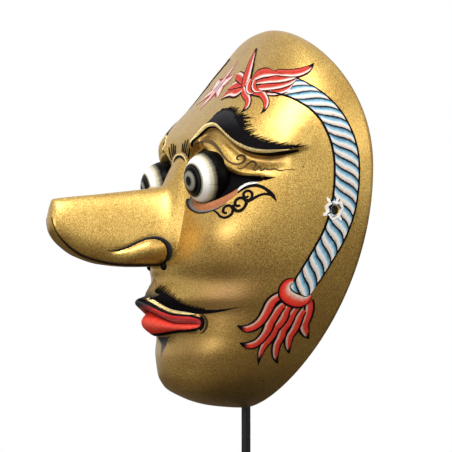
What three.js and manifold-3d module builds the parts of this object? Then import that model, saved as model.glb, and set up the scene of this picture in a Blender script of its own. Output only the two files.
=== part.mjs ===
// A carved and gilded long-nosed dance mask on its display stand.
// Millimetres, +Z up. The origin is the middle of the base's underside, the mask faces -Y,
// and the wearer's left side is +X.
import * as THREE from "three";
import { mergeVertices } from "three/addons/utils/BufferGeometryUtils.js";
import Module from "manifold-3d";

const wasm = await Module();
wasm.setup();

// ---------------------------------------------------------------- driving dimensions

const CHIN_Z = 105; // height of the mask's own zero above the table
const MASK_BOTTOM = 3; // the shell's lowest and highest points, above the mask's own zero
const MASK_TOP = 204;
const HALF_WIDTH = 74; // of the outline at its widest
const WIDEST_Z = 128;
const CHART_RADIUS = 72; // turns an angle round the face into millimetres along its skin
const SECTION_POWER = 2.4; // a higher power gives a boxier horizontal section
const WALL = 8;
const HOLLOW_DEPTH = 0.89; // the hollow's depth as a share of the egg's
const GAP = 0.3; // between a piece and the seat cut for it

const EYE = { x: 30, y: -34, z: 121.5, radius: 13.8, turnOut: 11, lookDown: 4 };
const EYE_SEAT_DEPTH = 2; // of the flat back behind the ball's centre
const EYE_PEG = { radius: 3.5, length: 2.5 };

const NOSE_LEAN = 0.18; // the nose's stations lean back by this much for each millimetre up
const NOSE_ROOT_Z = 134;
const DOWEL = { radius: 2.5, length: 20, intoWall: 2 };

const STRAP_HOLE = { y: 14, z: 104, radius: 2.5 };

const ROD_RADIUS = 2.4;
const ARM_RADIUS = 1.6;
const BASE = { width: 120, depth: 110, height: 9, corner: 6, bevel: 0.8 };
const FELT = { inset: 2, thickness: 1.5 };
const SOCKET = { radius: 8, height: 26, boreRadius: 2.8, boreDepth: 19 };
const SCREW = { radius: 3, headRadius: 5.5, headHeight: 3, length: 13 };
const GRUB = { radius: 1.5, clearance: 0.2 };
const GRUB_HEIGHT = { socket: 17, hub: -3.5, collar: 0 }; // on each, from its foot or its middle
const HUB = { radius: 5.5, height: 12, boreAbove: 3 };
const COLLAR = { radius: 5.5, height: 8, z: 40 };
const SLEEVE = { from: 52, to: 62.4, radius: 3.4, boreRadius: 1.9 };
const CHIN_PAD = { radius: 4.5, length: 9, floor: 2.6, drop: 5, clearance: 0.8 };

// ---------------------------------------------------------------- small maths

const bell = (v) => Math.exp(-v * v);
const clamp01 = (v) => Math.min(1, Math.max(0, v));
const smooth = (from, to, v) => {
  const t = clamp01((v - from) / (to - from));
  return t * t * (3 - 2 * t);
};
const windowed = (from, to, fade, v) =>
  smooth(from, from + fade, v) * (1 - smooth(to - fade, to, v));

// A smooth curve through points given as [position, value], with no overshoot between them.
function curveThrough(points) {
  const n = points.length;
  const slope = [];
  for (let i = 0; i < n - 1; i++)
    slope.push((points[i + 1][1] - points[i][1]) / (points[i + 1][0] - points[i][0]));
  const tangent = points.map((_, i) => {
    if (i === 0) return slope[0];
    if (i === n - 1) return slope[n - 2];
    const [before, after] = [slope[i - 1], slope[i]];
    return before * after <= 0 ? 0 : (2 * before * after) / (before + after);
  });
  return (v) => {
    let i = 0;
    while (i < n - 2 && v > points[i + 1][0]) i++;
    const step = points[i + 1][0] - points[i][0];
    const t = clamp01((v - points[i][0]) / step);
    const a = points[i][1];
    const b = points[i + 1][1];
    const bend = (1 - t) * tangent[i] * step - (b - a) * (1 - t);
    const bendBack = -t * tangent[i + 1] * step + (b - a) * t;
    return a + (b - a) * t + t * (1 - t) * (bend + bendBack);
  };
}

// ---------------------------------------------------------------- the form of the face

// Half the outline's width at a height: an egg, blunt above and longer below.
function outlineHalfWidth(z) {
  const up = clamp01((z - WIDEST_Z) / (MASK_TOP - WIDEST_Z));
  const down = clamp01((WIDEST_Z - z) / (WIDEST_Z - MASK_BOTTOM));
  return z > WIDEST_Z
    ? HALF_WIDTH * (1 - up ** 2.15) ** (1 / 2.15)
    : HALF_WIDTH * (1 - down ** 2) ** (1 / 2.1);
}

// The back edge's depth at a height: the sides wrap further back than the crown and chin.
function rimDepth(z) {
  const above = z - 126;
  return 34.4 - (above > 0 ? 0.0042 : 0.0025) * above * above;
}

// The face's middle line seen from the side, without nose and lips.
const middleLine = curveThrough([
  [3, -3], [3.6, -12], [5.2, -24], [8.5, -34], [14.4, -42.5], [21, -46], [31, -47.5], [42, -45.5],
  [52, -46], [62, -48.5], [75, -49], [90, -47], [105, -44], [118, -40.5], [128, -38.5], [137, -39],
  [144, -38.5], [150, -35.5], [160, -27.5], [170, -18.5], [180, -10.5], [190, -3], [197, 1.5],
  [201, 4.5], [203.2, 6.8], [204, 8.9],
]);

// How far the carving stands out from the plain egg, at a place u along the skin and a height.
function relief(u, z) {
  const side = Math.abs(u);
  const muzzle = 7 * bell(side / 17) * bell((z - 56) / 17);
  const cheekbone = 3 * bell((side - 42) / 18) * bell((z - 95) / 14);
  const cheekHollow = -2.5 * bell((side - 42) / 14) * bell((z - 62) / 14);
  const chin = 2 * bell(side / 16) * bell((z - 25) / 12);
  const browHeight = 137 + 17 * bell((side - 29) / 17);
  const brow = 3 * bell((z - browHeight) / 8) * windowed(6, 80, 14, side);
  const mouthWidth = windowed(-34, 34, 14, u);
  const upperLip = (2 + 4 * bell(u / 12)) * bell((z - 57) / 5) * mouthWidth;
  const lowerLip = (2 + 5 * bell(u / 10)) * bell((z - 46) / 4.5) * mouthWidth;
  return muzzle + cheekbone + cheekHollow + chin + brow + upperLip + lowerLip;
}

// The plain egg's radius in its horizontal section, at an angle round the middle of the rim.
function sectionRadius(angle, z) {
  const across = Math.abs(Math.sin(angle)) / Math.max(outlineHalfWidth(z), 1e-6);
  const ahead = Math.abs(Math.cos(angle)) / Math.max(rimDepth(z) - middleLine(z), 1e-6);
  return (across ** SECTION_POWER + ahead ** SECTION_POWER) ** (-1 / SECTION_POWER);
}

// A point of the carved skin. The carving fades out towards the rim, the crown and the chin's edge.
function skinPoint(angle, z) {
  const heightFade = smooth(MASK_BOTTOM, MASK_BOTTOM + 12, z) * (1 - smooth(MASK_TOP - 12, MASK_TOP, z));
  const rimFade = smooth(0, 0.25, Math.PI / 2 - Math.abs(angle));
  const radius = sectionRadius(angle, z) + relief(CHART_RADIUS * angle, z) * heightFade * rimFade;
  return new THREE.Vector3(radius * Math.sin(angle), rimDepth(z) - radius * Math.cos(angle), z);
}

// The carved-out inside: the plain egg, shrunk towards its middle by the wall.
function hollowPoint(angle, z) {
  const radius = sectionRadius(angle, z);
  const middle = (MASK_TOP + MASK_BOTTOM) / 2;
  const shorter = 1 - (2 * WALL) / (MASK_TOP - MASK_BOTTOM);
  return new THREE.Vector3(
    (1 - WALL / HALF_WIDTH) * radius * Math.sin(angle),
    rimDepth(z) - HOLLOW_DEPTH * radius * Math.cos(angle),
    middle + (z - middle) * shorter,
  );
}

// ---------------------------------------------------------------- solids

// A closed solid between two skins that share one grid of angles and heights and meet at the rim.
function shellGeometry(outerAt, innerAt, columns, rows) {
  const corners = [];
  const faces = [];
  const layer = (pointAt, flip) => {
    const first = corners.length;
    for (let j = 0; j <= rows; j++) {
      const z = MASK_BOTTOM + ((MASK_TOP - MASK_BOTTOM) * (1 - Math.cos((Math.PI * j) / rows))) / 2;
      const columnCount = j === 0 || j === rows ? 1 : columns + 1;
      for (let i = 0; i < columnCount; i++)
        corners.push(pointAt(columnCount === 1 ? 0 : (i / columns - 0.5) * Math.PI, z));
    }
    const at = (i, j) => {
      if (j === 0) return first;
      return j === rows ? first + 1 + (rows - 1) * (columns + 1) : first + 1 + (j - 1) * (columns + 1) + i;
    };
    for (let j = 0; j < rows; j++)
      for (let i = 0; i < columns; i++) quad(at(i, j), at(i + 1, j), at(i + 1, j + 1), at(i, j + 1), flip);
    return at;
  };
  const quad = (a, b, c, d, flip) => {
    const ring = flip ? [d, c, b, a] : [a, b, c, d];
    if (ring[0] !== ring[1] && ring[1] !== ring[2] && ring[0] !== ring[2]) faces.push(ring[0], ring[1], ring[2]);
    if (ring[2] !== ring[3] && ring[3] !== ring[0] && ring[0] !== ring[2]) faces.push(ring[0], ring[2], ring[3]);
  };
  const outer = layer(outerAt, false);
  const inner = layer(innerAt, true);
  for (let j = 0; j < rows; j++) {
    quad(outer(columns, j), inner(columns, j), inner(columns, j + 1), outer(columns, j + 1), false);
    quad(inner(0, j), outer(0, j), outer(0, j + 1), inner(0, j + 1), false);
  }
  return indexed(corners, faces);
}

function indexed(corners, faces) {
  const geometry = new THREE.BufferGeometry();
  geometry.setAttribute("position", new THREE.Float32BufferAttribute(corners.flatMap((c) => [c.x, c.y, c.z]), 3));
  geometry.setIndex(faces);
  return geometry;
}

function toSolid(geometry) {
  const bare = geometry.clone();
  bare.deleteAttribute("normal");
  bare.deleteAttribute("uv");
  const merged = mergeVertices(bare, 1e-4);
  return new wasm.Manifold(
    new wasm.Mesh({
      numProp: 3,
      vertProperties: new Float32Array(merged.attributes.position.array),
      triVerts: new Uint32Array(merged.index.array),
    }),
  );
}

function fromSolid(solid) {
  const mesh = solid.getMesh();
  const geometry = new THREE.BufferGeometry();
  geometry.setAttribute("position", new THREE.BufferAttribute(new Float32Array(mesh.vertProperties), 3));
  geometry.setIndex(new THREE.BufferAttribute(new Uint32Array(mesh.triVerts), 1));
  return geometry;
}

const cut = (geometry, ...tools) =>
  fromSolid(tools.reduce((solid, tool) => solid.subtract(toSolid(tool)), toSolid(geometry)));

// A turned shape about +Z from [radius, height] points that start and end on the axis.
const turned = (points, sides) =>
  new THREE.LatheGeometry(points.map(([r, h]) => new THREE.Vector2(r, h)), sides).rotateX(Math.PI / 2);

const rodAlong = (radius, length, sides) => turned([[0, 0], [radius, 0], [radius, length], [0, length]], sides);

// A closed ring about +Z.
const tubeAlong = (radius, bore, length, sides) =>
  turned([[bore, 0], [radius, 0], [radius, length], [bore, length], [bore, 0]], sides);

function wire(points, radius, steps) {
  const section = new THREE.Shape().absarc(0, 0, radius, 0, 2 * Math.PI);
  const path = new THREE.CatmullRomCurve3(points.map((p) => new THREE.Vector3(...p)), false, "centripetal");
  return new THREE.ExtrudeGeometry(section, { steps, extrudePath: path, curveSegments: 5 });
}

// ---------------------------------------------------------------- the mask's pieces

// The nose: upright stations from inside the face to the rounded tip, each a leaning oval.
const NOSE = { start: 34, tip: 104.2, tipHeight: 103 };
const noseTop = curveThrough([
  [34, 137], [38, 133], [43.8, 122.5], [48, 118.8], [60, 116.3], [80, 113.3], [100, 110.9], [102.8, 110],
  [104.2, 103],
]);
const noseUnder = curveThrough([
  [34, 77.5], [55.7, 76.7], [72, 78], [86, 82], [95, 87.6], [101, 94], [104.2, 103],
]);
const noseHalfWidth = curveThrough([
  [34, 19], [38, 16.5], [44, 13.5], [50, 11.8], [60, 10.2], [80, 8.6], [95, 7.2], [101, 5.6], [104.2, 0],
]);
const leanAt = (z) => NOSE_LEAN * (z - NOSE_ROOT_Z);

function noseGeometry(grow) {
  const rings = 15;
  const sides = 18;
  const start = NOSE.start - grow;
  const corners = [];
  const faces = [];
  for (let k = 0; k <= rings; k++) {
    const along = start + (NOSE.tip - 0.1 - start) * Math.sin(((k / rings) * Math.PI) / 2) ** 1.2;
    const top = noseTop(along) + grow;
    const under = noseUnder(along) - grow;
    for (let i = 0; i < sides; i++) {
      const a = (2 * Math.PI * i) / sides;
      const rise = Math.sign(Math.sin(a)) * Math.abs(Math.sin(a)) ** 0.8;
      const wide = Math.sign(Math.cos(a)) * Math.abs(Math.cos(a)) ** 0.8;
      const z = (top + under) / 2 + ((top - under) / 2) * rise;
      const x = (noseHalfWidth(along) + grow) * wide * (1 - 0.25 * rise);
      corners.push(new THREE.Vector3(x, -along + leanAt(z), z));
    }
  }
  const tip = corners.length;
  corners.push(new THREE.Vector3(0, -NOSE.tip - grow + leanAt(NOSE.tipHeight), NOSE.tipHeight));
  const back = corners.length;
  const rootHeight = (noseTop(start) + noseUnder(start)) / 2;
  corners.push(new THREE.Vector3(0, -start + leanAt(rootHeight), rootHeight));
  for (let i = 0; i < sides; i++) {
    const next = (i + 1) % sides;
    for (let k = 0; k < rings; k++) {
      const [a, b, c, d] = [k * sides + i, k * sides + next, (k + 1) * sides + next, (k + 1) * sides + i];
      faces.push(a, b, c, a, c, d);
    }
    faces.push(rings * sides + i, rings * sides + next, tip);
    faces.push(back, next, i);
  }
  return indexed(corners, faces);
}

// An eyeball: a little more than half a ball, with a flat back and a peg, looking along -Y.
function eyeballGeometry(side, grow) {
  const radius = EYE.radius + grow;
  const back = EYE_SEAT_DEPTH + grow;
  const peg = EYE_PEG.radius + grow;
  const points = [];
  const last = Math.acos(-back / radius);
  for (let k = 0; k <= 9; k++) {
    const a = (last * k) / 9;
    points.push([k === 0 ? 0 : radius * Math.sin(a), radius * Math.cos(a)]);
  }
  points.push([peg, -back], [peg, -back - EYE_PEG.length], [0, -back - EYE_PEG.length]);
  return turned(points.reverse(), 24)
    .rotateX(Math.PI / 2 + THREE.MathUtils.degToRad(EYE.lookDown))
    .rotateZ(side * THREE.MathUtils.degToRad(EYE.turnOut))
    .translate(side * EYE.x, EYE.y, EYE.z);
}

// A dowel from the nose's root into the wall behind it.
const dowelGeometry = (z, grow) =>
  rodAlong(DOWEL.radius + grow, DOWEL.length + 2 * grow, 12)
    .rotateX(Math.PI / 2)
    .translate(0, -NOSE.start + leanAt(z) + DOWEL.intoWall + grow, z);

const strapHoles = rodAlong(STRAP_HOLE.radius, 2 * HALF_WIDTH + 10, 16)
  .rotateY(Math.PI / 2)
  .translate(-HALF_WIDTH - 5, STRAP_HOLE.y, STRAP_HOLE.z);

const DOWEL_HEIGHTS = { upper: 116, lower: 90 };

// ---------------------------------------------------------------- the stand's pieces

const armZ = CHIN_Z + STRAP_HOLE.z;
const rodTop = armZ + HUB.boreAbove;
const baseTop = FELT.thickness + BASE.height;

function roundedSlab(width, depth, height, corner, bevel) {
  const [w, d] = [width / 2 - bevel, depth / 2 - bevel];
  const r = corner - bevel;
  const outline = new THREE.Shape();
  outline.moveTo(-w + r, -d);
  outline.lineTo(w - r, -d);
  outline.absarc(w - r, -d + r, r, -Math.PI / 2, 0);
  outline.absarc(w - r, d - r, r, 0, Math.PI / 2);
  outline.absarc(-w + r, d - r, r, Math.PI / 2, Math.PI);
  outline.absarc(-w + r, -d + r, r, Math.PI, 1.5 * Math.PI);
  return new THREE.ExtrudeGeometry(outline, {
    depth: height - 2 * bevel,
    bevelEnabled: bevel > 0,
    bevelThickness: bevel,
    bevelSize: bevel,
    bevelSegments: 2,
    curveSegments: 5,
  }).translate(0, 0, bevel);
}

// The screw that holds the socket down, its head sunk in the plate's underside.
const screwGeometry = (grow) =>
  turned(
    [
      [0, -grow], [SCREW.headRadius + grow, -grow], [SCREW.radius + grow, SCREW.headHeight + grow],
      [SCREW.radius + grow, SCREW.length + grow], [0, SCREW.length + grow],
    ],
    16,
  ).translate(0, 0, FELT.thickness + 0.4);

const socketGeometry = () =>
  turned(
    [
      [0, 0], [SOCKET.radius, 0], [SOCKET.radius, SOCKET.height - 1.5], [SOCKET.radius - 1.5, SOCKET.height],
      [SOCKET.boreRadius, SOCKET.height], [SOCKET.boreRadius, SOCKET.height - SOCKET.boreDepth],
      [0, SOCKET.height - SOCKET.boreDepth],
    ],
    24,
  ).translate(0, 0, baseTop);

// A grub screw that grips the rod from behind, as far out as the outer radius it is given.
const grubGeometry = (outerRadius, z, grow) =>
  rodAlong(GRUB.radius + grow, outerRadius - ROD_RADIUS - GRUB.clearance - 0.8, 12)
    .rotateX(-Math.PI / 2)
    .translate(0, ROD_RADIUS + GRUB.clearance + 0.4, z);

// The hole for it, through the wall of the socket, hub or collar.
const grubHole = (outerRadius, z) =>
  rodAlong(GRUB.radius + GAP, outerRadius, 12).rotateX(-Math.PI / 2).translate(0, 0.5, z);

// One bent arm from the hub to the strap hole on its side, ending as a straight pin.
const armGeometry = (side) =>
  wire(
    [
      [side * (HUB.radius + GAP), 0, 0], [side * 16, 3.5, 0], [side * 34, STRAP_HOLE.y - 2, 0],
      [side * 46, STRAP_HOLE.y, 0], [side * 58, STRAP_HOLE.y, 0], [side * 70, STRAP_HOLE.y, 0],
    ],
    ARM_RADIUS,
    18,
  ).translate(0, 0, armZ);

const sleeveGeometry = (side) =>
  tubeAlong(SLEEVE.radius, SLEEVE.boreRadius, SLEEVE.to - SLEEVE.from, 16)
    .rotateY((side * Math.PI) / 2)
    .translate(side * SLEEVE.from, STRAP_HOLE.y, armZ);

const hubGeometry = () =>
  turned(
    [
      [0, HUB.height / 2], [0, HUB.boreAbove], [ROD_RADIUS + GAP, HUB.boreAbove],
      [ROD_RADIUS + GAP, -HUB.height / 2], [HUB.radius, -HUB.height / 2], [HUB.radius, HUB.height / 2 - 1],
      [HUB.radius - 1, HUB.height / 2], [0, HUB.height / 2],
    ],
    20,
  ).translate(0, 0, armZ);

// The chin pad's front stands just clear of the hollow's wall behind the chin.
const collarZ = CHIN_Z + COLLAR.z;
const chinPadFront = hollowPoint(0, COLLAR.z - CHIN_PAD.drop).y + CHIN_PAD.clearance;

// ---------------------------------------------------------------- finishes

const finish = (color, roughness, metalness) => new THREE.MeshStandardMaterial({ color, roughness, metalness });
const gilt = finish("#b98f35", 0.4, 0.6);
const eyePaint = finish("#e8e4d6", 0.25, 0);
const dowelWood = finish("#a9825a", 0.7, 0);
const blackSteel = finish("#15151a", 0.5, 0.3);
const felt = finish("#1d2320", 0.95, 0);
const screwSteel = finish("#8d8f92", 0.35, 0.9);
const rubber = finish("#26262a", 0.8, 0);

const mask = new THREE.Group();
mask.position.z = CHIN_Z;
const stand = new THREE.Group();
const maskOnStand = new THREE.Group().add(mask, stand);

function piece(parent, name, geometry, material) {
  const mesh = new THREE.Mesh(geometry, material);
  mesh.name = name;
  parent.add(mesh);
}

const sides = { left: 1, right: -1 };
piece(
  mask,
  "mask_shell",
  cut(
    shellGeometry(skinPoint, hollowPoint, 34, 40),
    noseGeometry(GAP),
    strapHoles,
    ...Object.values(sides).map((side) => eyeballGeometry(side, GAP)),
    ...Object.values(DOWEL_HEIGHTS).map((z) => dowelGeometry(z, GAP)),
  ),
  gilt,
);
piece(mask, "nose", cut(noseGeometry(0), ...Object.values(DOWEL_HEIGHTS).map((z) => dowelGeometry(z, GAP))), gilt);
for (const [which, z] of Object.entries(DOWEL_HEIGHTS)) piece(mask, `nose_dowel_${which}`, dowelGeometry(z, 0), dowelWood);
for (const [which, side] of Object.entries(sides)) piece(mask, `${which}_eyeball`, eyeballGeometry(side, 0), eyePaint);

piece(
  stand,
  "base_felt",
  roundedSlab(BASE.width - 2 * FELT.inset, BASE.depth - 2 * FELT.inset, FELT.thickness, BASE.corner - FELT.inset, 0),
  felt,
);
piece(
  stand,
  "base_plate",
  cut(
    roundedSlab(BASE.width, BASE.depth, BASE.height, BASE.corner, BASE.bevel).translate(0, 0, FELT.thickness),
    screwGeometry(GAP),
    rodAlong(SCREW.headRadius + GAP, 1, 16).translate(0, 0, FELT.thickness - 0.5),
  ),
  blackSteel,
);
const grubZ = { socket: baseTop + GRUB_HEIGHT.socket, hub: armZ + GRUB_HEIGHT.hub, collar: collarZ };
piece(
  stand,
  "rod_socket",
  cut(socketGeometry(), screwGeometry(GAP), grubHole(SOCKET.radius, grubZ.socket)),
  blackSteel,
);
piece(stand, "socket_screw", screwGeometry(0), screwSteel);
piece(stand, "socket_grub_screw", grubGeometry(SOCKET.radius, grubZ.socket, 0), screwSteel);

const rodFoot = baseTop + SOCKET.height - SOCKET.boreDepth + GAP;
piece(stand, "upright_rod", rodAlong(ROD_RADIUS, rodTop - rodFoot - GAP, 16).translate(0, 0, rodFoot), blackSteel);
piece(stand, "arm_hub", cut(hubGeometry(), grubHole(HUB.radius, grubZ.hub)), blackSteel);
piece(stand, "hub_grub_screw", grubGeometry(HUB.radius, grubZ.hub, 0), screwSteel);
for (const [which, side] of Object.entries(sides)) {
  piece(stand, `${which}_arm`, armGeometry(side), blackSteel);
  piece(stand, `${which}_arm_sleeve`, sleeveGeometry(side), rubber);
}
piece(
  stand,
  "chin_arm_collar",
  cut(
    tubeAlong(COLLAR.radius, ROD_RADIUS + GAP, COLLAR.height, 20).translate(0, 0, collarZ - COLLAR.height / 2),
    grubHole(COLLAR.radius, grubZ.collar),
  ),
  blackSteel,
);
piece(stand, "collar_grub_screw", grubGeometry(COLLAR.radius, grubZ.collar, 0), screwSteel);
piece(
  stand,
  "chin_arm",
  wire(
    [
      [0, -COLLAR.radius - GAP, 0], [0, -12, -0.5], [0, -20, -3.5], [0, -27, -CHIN_PAD.drop],
      [0, chinPadFront + CHIN_PAD.floor + GAP, -CHIN_PAD.drop],
    ],
    ARM_RADIUS,
    12,
  ).translate(0, 0, collarZ),
  blackSteel,
);
piece(
  stand,
  "chin_pad",
  turned(
    [
      [0, 0], [CHIN_PAD.radius - 1.5, 0], [CHIN_PAD.radius, 1.5], [CHIN_PAD.radius, CHIN_PAD.length],
      [ARM_RADIUS + GAP, CHIN_PAD.length], [ARM_RADIUS + GAP, CHIN_PAD.floor], [0, CHIN_PAD.floor],
    ],
    20,
  )
    .rotateX(-Math.PI / 2)
    .translate(0, chinPadFront, collarZ - CHIN_PAD.drop),
  rubber,
);

export default maskOnStand;
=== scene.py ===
# %% [markdown]
# # A gilded long-nosed dance mask on its stand
# The mask is carved wood, gilded and then painted with a fine brush. It hangs by its two strap
# holes on a black rod stand. The solid frame of the part fixes every size and every place, and
# this script makes the surfaces: the carving, the gold, the painted ornament and the metal.
# The carving is one smooth rule, so it is made as a formula over the face. The paint is drawn flat
# and pressed onto the carving by a node tree, as a painter's stencil would be.

# %% Load the frame
import math

import bmesh
import bpy
import numpy as np
from mathutils import Euler, Matrix, Vector
from mathutils.geometry import delaunay_2d_cdt


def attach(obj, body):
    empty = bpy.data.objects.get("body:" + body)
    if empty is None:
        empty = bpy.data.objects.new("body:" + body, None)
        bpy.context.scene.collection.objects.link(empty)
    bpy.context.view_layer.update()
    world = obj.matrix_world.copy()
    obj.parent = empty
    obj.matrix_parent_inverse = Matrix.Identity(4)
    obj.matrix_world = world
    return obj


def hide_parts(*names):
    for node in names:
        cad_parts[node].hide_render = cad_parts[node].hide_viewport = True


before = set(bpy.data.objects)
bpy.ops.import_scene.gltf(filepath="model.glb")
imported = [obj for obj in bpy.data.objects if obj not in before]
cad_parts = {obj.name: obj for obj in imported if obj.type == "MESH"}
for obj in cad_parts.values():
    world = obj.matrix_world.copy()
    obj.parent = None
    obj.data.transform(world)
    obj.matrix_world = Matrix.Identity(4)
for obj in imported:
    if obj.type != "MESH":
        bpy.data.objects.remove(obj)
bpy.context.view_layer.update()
MM = 0.001

# %% [markdown]
# ## Camera, floor and light
# The mask is seen from its left side and slightly from below, with a long lens, as a mask on
# a shelf at eye height is. Gold shows what stands round it, so the light comes from wide, soft
# panels: a bright one high on its left, a paler one in front of the nose, and a faint one behind
# the left cheek.

# %% Camera
CHIN_Z = 105.0  # millimetres from the table to the mask's own zero
SIDES = ((1, "left"), (-1, "right"))
scene = bpy.context.scene


def linked(name, data):
    """A new object in the scene, for a mesh, a lamp or a camera."""
    obj = bpy.data.objects.new(name, data)
    scene.collection.objects.link(obj)
    return obj


def direction(azimuth, elevation):
    """A unit vector from the object towards a viewer: azimuth 0 is in front, 90 on its left."""
    a, e = math.radians(azimuth), math.radians(elevation)
    return np.array([math.sin(a) * math.cos(e), -math.cos(a) * math.cos(e), math.sin(e)])


def aim(obj, place, target):
    """Puts a camera or a light at a place and turns it to face the target."""
    obj.location = Vector(place)
    obj.rotation_euler = (Vector(target) - Vector(place)).to_track_quat("-Z", "Y").to_euler()


camera = linked("camera", bpy.data.cameras.new("camera"))
camera.data.lens = 105
camera.data.sensor_width = 36
target = np.array([0, -11.7, CHIN_Z + 99]) * MM
aim(camera, target + 0.7 * direction(65, -3), target)
scene.camera = camera
scene.view_settings.view_transform = "Standard"
print("camera at", [round(v, 3) for v in camera.location])

# %% Floor and lights
floor_mesh = bpy.data.meshes.new("floor")
floor_shape = bmesh.new()
bmesh.ops.create_circle(floor_shape, cap_ends=True, segments=96, radius=0.6)
floor_shape.to_mesh(floor_mesh)
floor = linked("floor", floor_mesh)


def soft_panel(name, azimuth, elevation, distance, size, power):
    """A round lamp, its distance and size in metres and its power in watts."""
    lamp = bpy.data.lights.new(name, "AREA")
    lamp.shape = "DISK"
    lamp.size = size
    lamp.energy = power
    aim(linked(name, lamp), target + distance * direction(azimuth, elevation), target)


soft_panel("temple_panel", 64, 52, 1.0, 0.5, 8)
soft_panel("front_panel", 24, 4, 1.2, 0.55, 4.5)
soft_panel("side_panel", 116, 20, 1.2, 0.4, 1.5)

world = bpy.data.worlds.new("studio")
world.use_nodes = True
scene.world = world
sky = world.node_tree.nodes
links = world.node_tree.links
room = sky["Background"]
place = sky.new("ShaderNodeTexCoord")
height = sky.new("ShaderNodeSeparateXYZ")
links.new(place.outputs["Generated"], height.inputs[0])
walls = sky.new("ShaderNodeValToRGB")
stops = walls.color_ramp.elements
stops[0].position, stops[0].color = 0.40, (0.035, 0.022, 0.012, 1)
stops[1].position, stops[1].color = 0.50, (0.80, 0.80, 0.79, 1)
raised = sky.new("ShaderNodeMath")
raised.operation = "MULTIPLY_ADD"
raised.inputs[1].default_value = 0.5
raised.inputs[2].default_value = 0.5
links.new(height.outputs["Z"], raised.inputs[0])
links.new(raised.outputs[0], walls.inputs["Fac"])
links.new(walls.outputs["Color"], room.inputs["Color"])
room.inputs["Strength"].default_value = 0.95
backdrop = sky.new("ShaderNodeBackground")
backdrop.inputs["Color"].default_value = (1, 1, 1, 1)
seen = sky.new("ShaderNodeLightPath")
pick = sky.new("ShaderNodeMixShader")
links.new(seen.outputs["Is Camera Ray"], pick.inputs["Fac"])
links.new(room.outputs[0], pick.inputs[1])
links.new(backdrop.outputs[0], pick.inputs[2])
links.new(pick.outputs[0], sky["World Output"].inputs["Surface"])

# %% [markdown]
# ## A small language for finishes
# Every finish here is built from the same few moves: a pattern read from the piece's own
# coordinates, a ramp that turns it into colours or a roughness, and a bump that gives it grain.
# These helpers say each move in one line, so that a finish reads like a recipe.

# %% Finish helpers
class Finish:
    """A material under construction: its nodes, its links and its shader."""

    def __init__(self, name, metallic=0.0, roughness=0.5, **sockets):
        self.material = bpy.data.materials.new(name)
        self.material.use_nodes = True
        self.nodes = self.material.node_tree.nodes
        self.links = self.material.node_tree.links
        self.shader = self.nodes["Principled BSDF"]
        self.shader.inputs["Metallic"].default_value = metallic
        self.shader.inputs["Roughness"].default_value = roughness
        for socket, value in sockets.items():
            self.shader.inputs[socket.replace("_", " ")].default_value = value
        self.place = self.nodes.new("ShaderNodeTexCoord").outputs["Object"]

    def node(self, kind, inputs=None, **settings):
        made = self.nodes.new(kind)
        for key, value in settings.items():
            setattr(made, key, value)
        for key, value in (inputs or {}).items():
            if isinstance(value, bpy.types.NodeSocket):
                self.links.new(value, made.inputs[key])
            else:
                made.inputs[key].default_value = value
        return made

    def noise(self, scale, detail=3.0, where=None):
        inputs = {"Vector": where or self.place, "Scale": scale, "Detail": detail}
        return self.node("ShaderNodeTexNoise", inputs).outputs["Fac"]

    def stretched(self, scale, detail=4.0, where=None):
        """Noise that is drawn out along one direction."""
        moved = self.node("ShaderNodeMapping", {"Vector": where or self.place, "Scale": scale})
        return self.noise(1, detail, moved.outputs["Vector"])

    def attribute(self, name):
        return self.node("ShaderNodeAttribute", attribute_name=name).outputs["Fac"]

    def ramp(self, value, stops, smooth=False):
        made = self.node("ShaderNodeValToRGB", {"Fac": value})
        made.color_ramp.interpolation = "EASE" if smooth else "LINEAR"
        elements = made.color_ramp.elements
        while len(elements) < len(stops):
            elements.new(1.0)
        for element, (position, colour) in zip(elements, stops):
            element.position = position
            element.color = tuple(colour) + (1,) if len(colour) == 3 else tuple(colour)
        return made.outputs["Color"]

    def grey(self, value, low, high, start=0.0, end=1.0):
        inputs = {"Value": value, "From Min": start, "From Max": end, "To Min": low, "To Max": high}
        return self.node("ShaderNodeMapRange", inputs).outputs["Result"]

    def mix(self, factor, first, second, blend="MIX"):
        made = self.node("ShaderNodeMix", data_type="RGBA", blend_type=blend)
        for key, value in (("Factor", factor), ("A", first), ("B", second)):
            socket = [s for s in made.inputs if s.name == key and s.enabled][0]
            if isinstance(value, bpy.types.NodeSocket):
                self.links.new(value, socket)
            else:
                socket.default_value = value if key == "Factor" else tuple(value) + (1,)
        return [s for s in made.outputs if s.enabled][0]

    def colour(self, value):
        self.links.new(value, self.shader.inputs["Base Color"])

    def two_tones(self, pattern, dark, light, start=0.3, end=0.7):
        self.colour(self.ramp(pattern, [(start, dark), (end, light)]))

    def rough(self, value):
        self.links.new(value, self.shader.inputs["Roughness"])

    def bump(self, height, strength, depth):
        made = self.node("ShaderNodeBump", {"Height": height, "Strength": strength, "Distance": depth})
        self.links.new(made.outputs["Normal"], self.shader.inputs["Normal"])


def add_piece(name, mesh, materials):
    """Links a finished mesh as an object, with its materials."""
    obj = linked(name, mesh)
    for material in materials:
        mesh.materials.append(material)
    mesh.polygons.foreach_set("use_smooth", [True] * len(mesh.polygons))
    mesh.update()
    return obj


def store(mesh, name, values, kind="FLOAT", field="value"):
    """Writes one value for each point of the mesh, where its finish can read it."""
    layer = mesh.attributes.new(name, kind, "POINT")
    layer.data.foreach_set(field, np.asarray(values).astype(np.float32).ravel())


def reshape(mesh, *changes):
    """Opens a mesh for editing, makes each change to it and closes it."""
    shape = bmesh.new()
    shape.from_mesh(mesh)
    for change in changes:
        change(shape)
    shape.to_mesh(mesh)
    shape.free()


def face_outward(shape):
    bmesh.ops.recalc_face_normals(shape, faces=shape.faces)


studio_floor = Finish("studio_floor", roughness=0.8)
studio_floor.two_tones(studio_floor.noise(3), (0.075, 0.060, 0.045), (0.095, 0.078, 0.058))
floor_mesh.materials.append(studio_floor.material)

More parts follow.
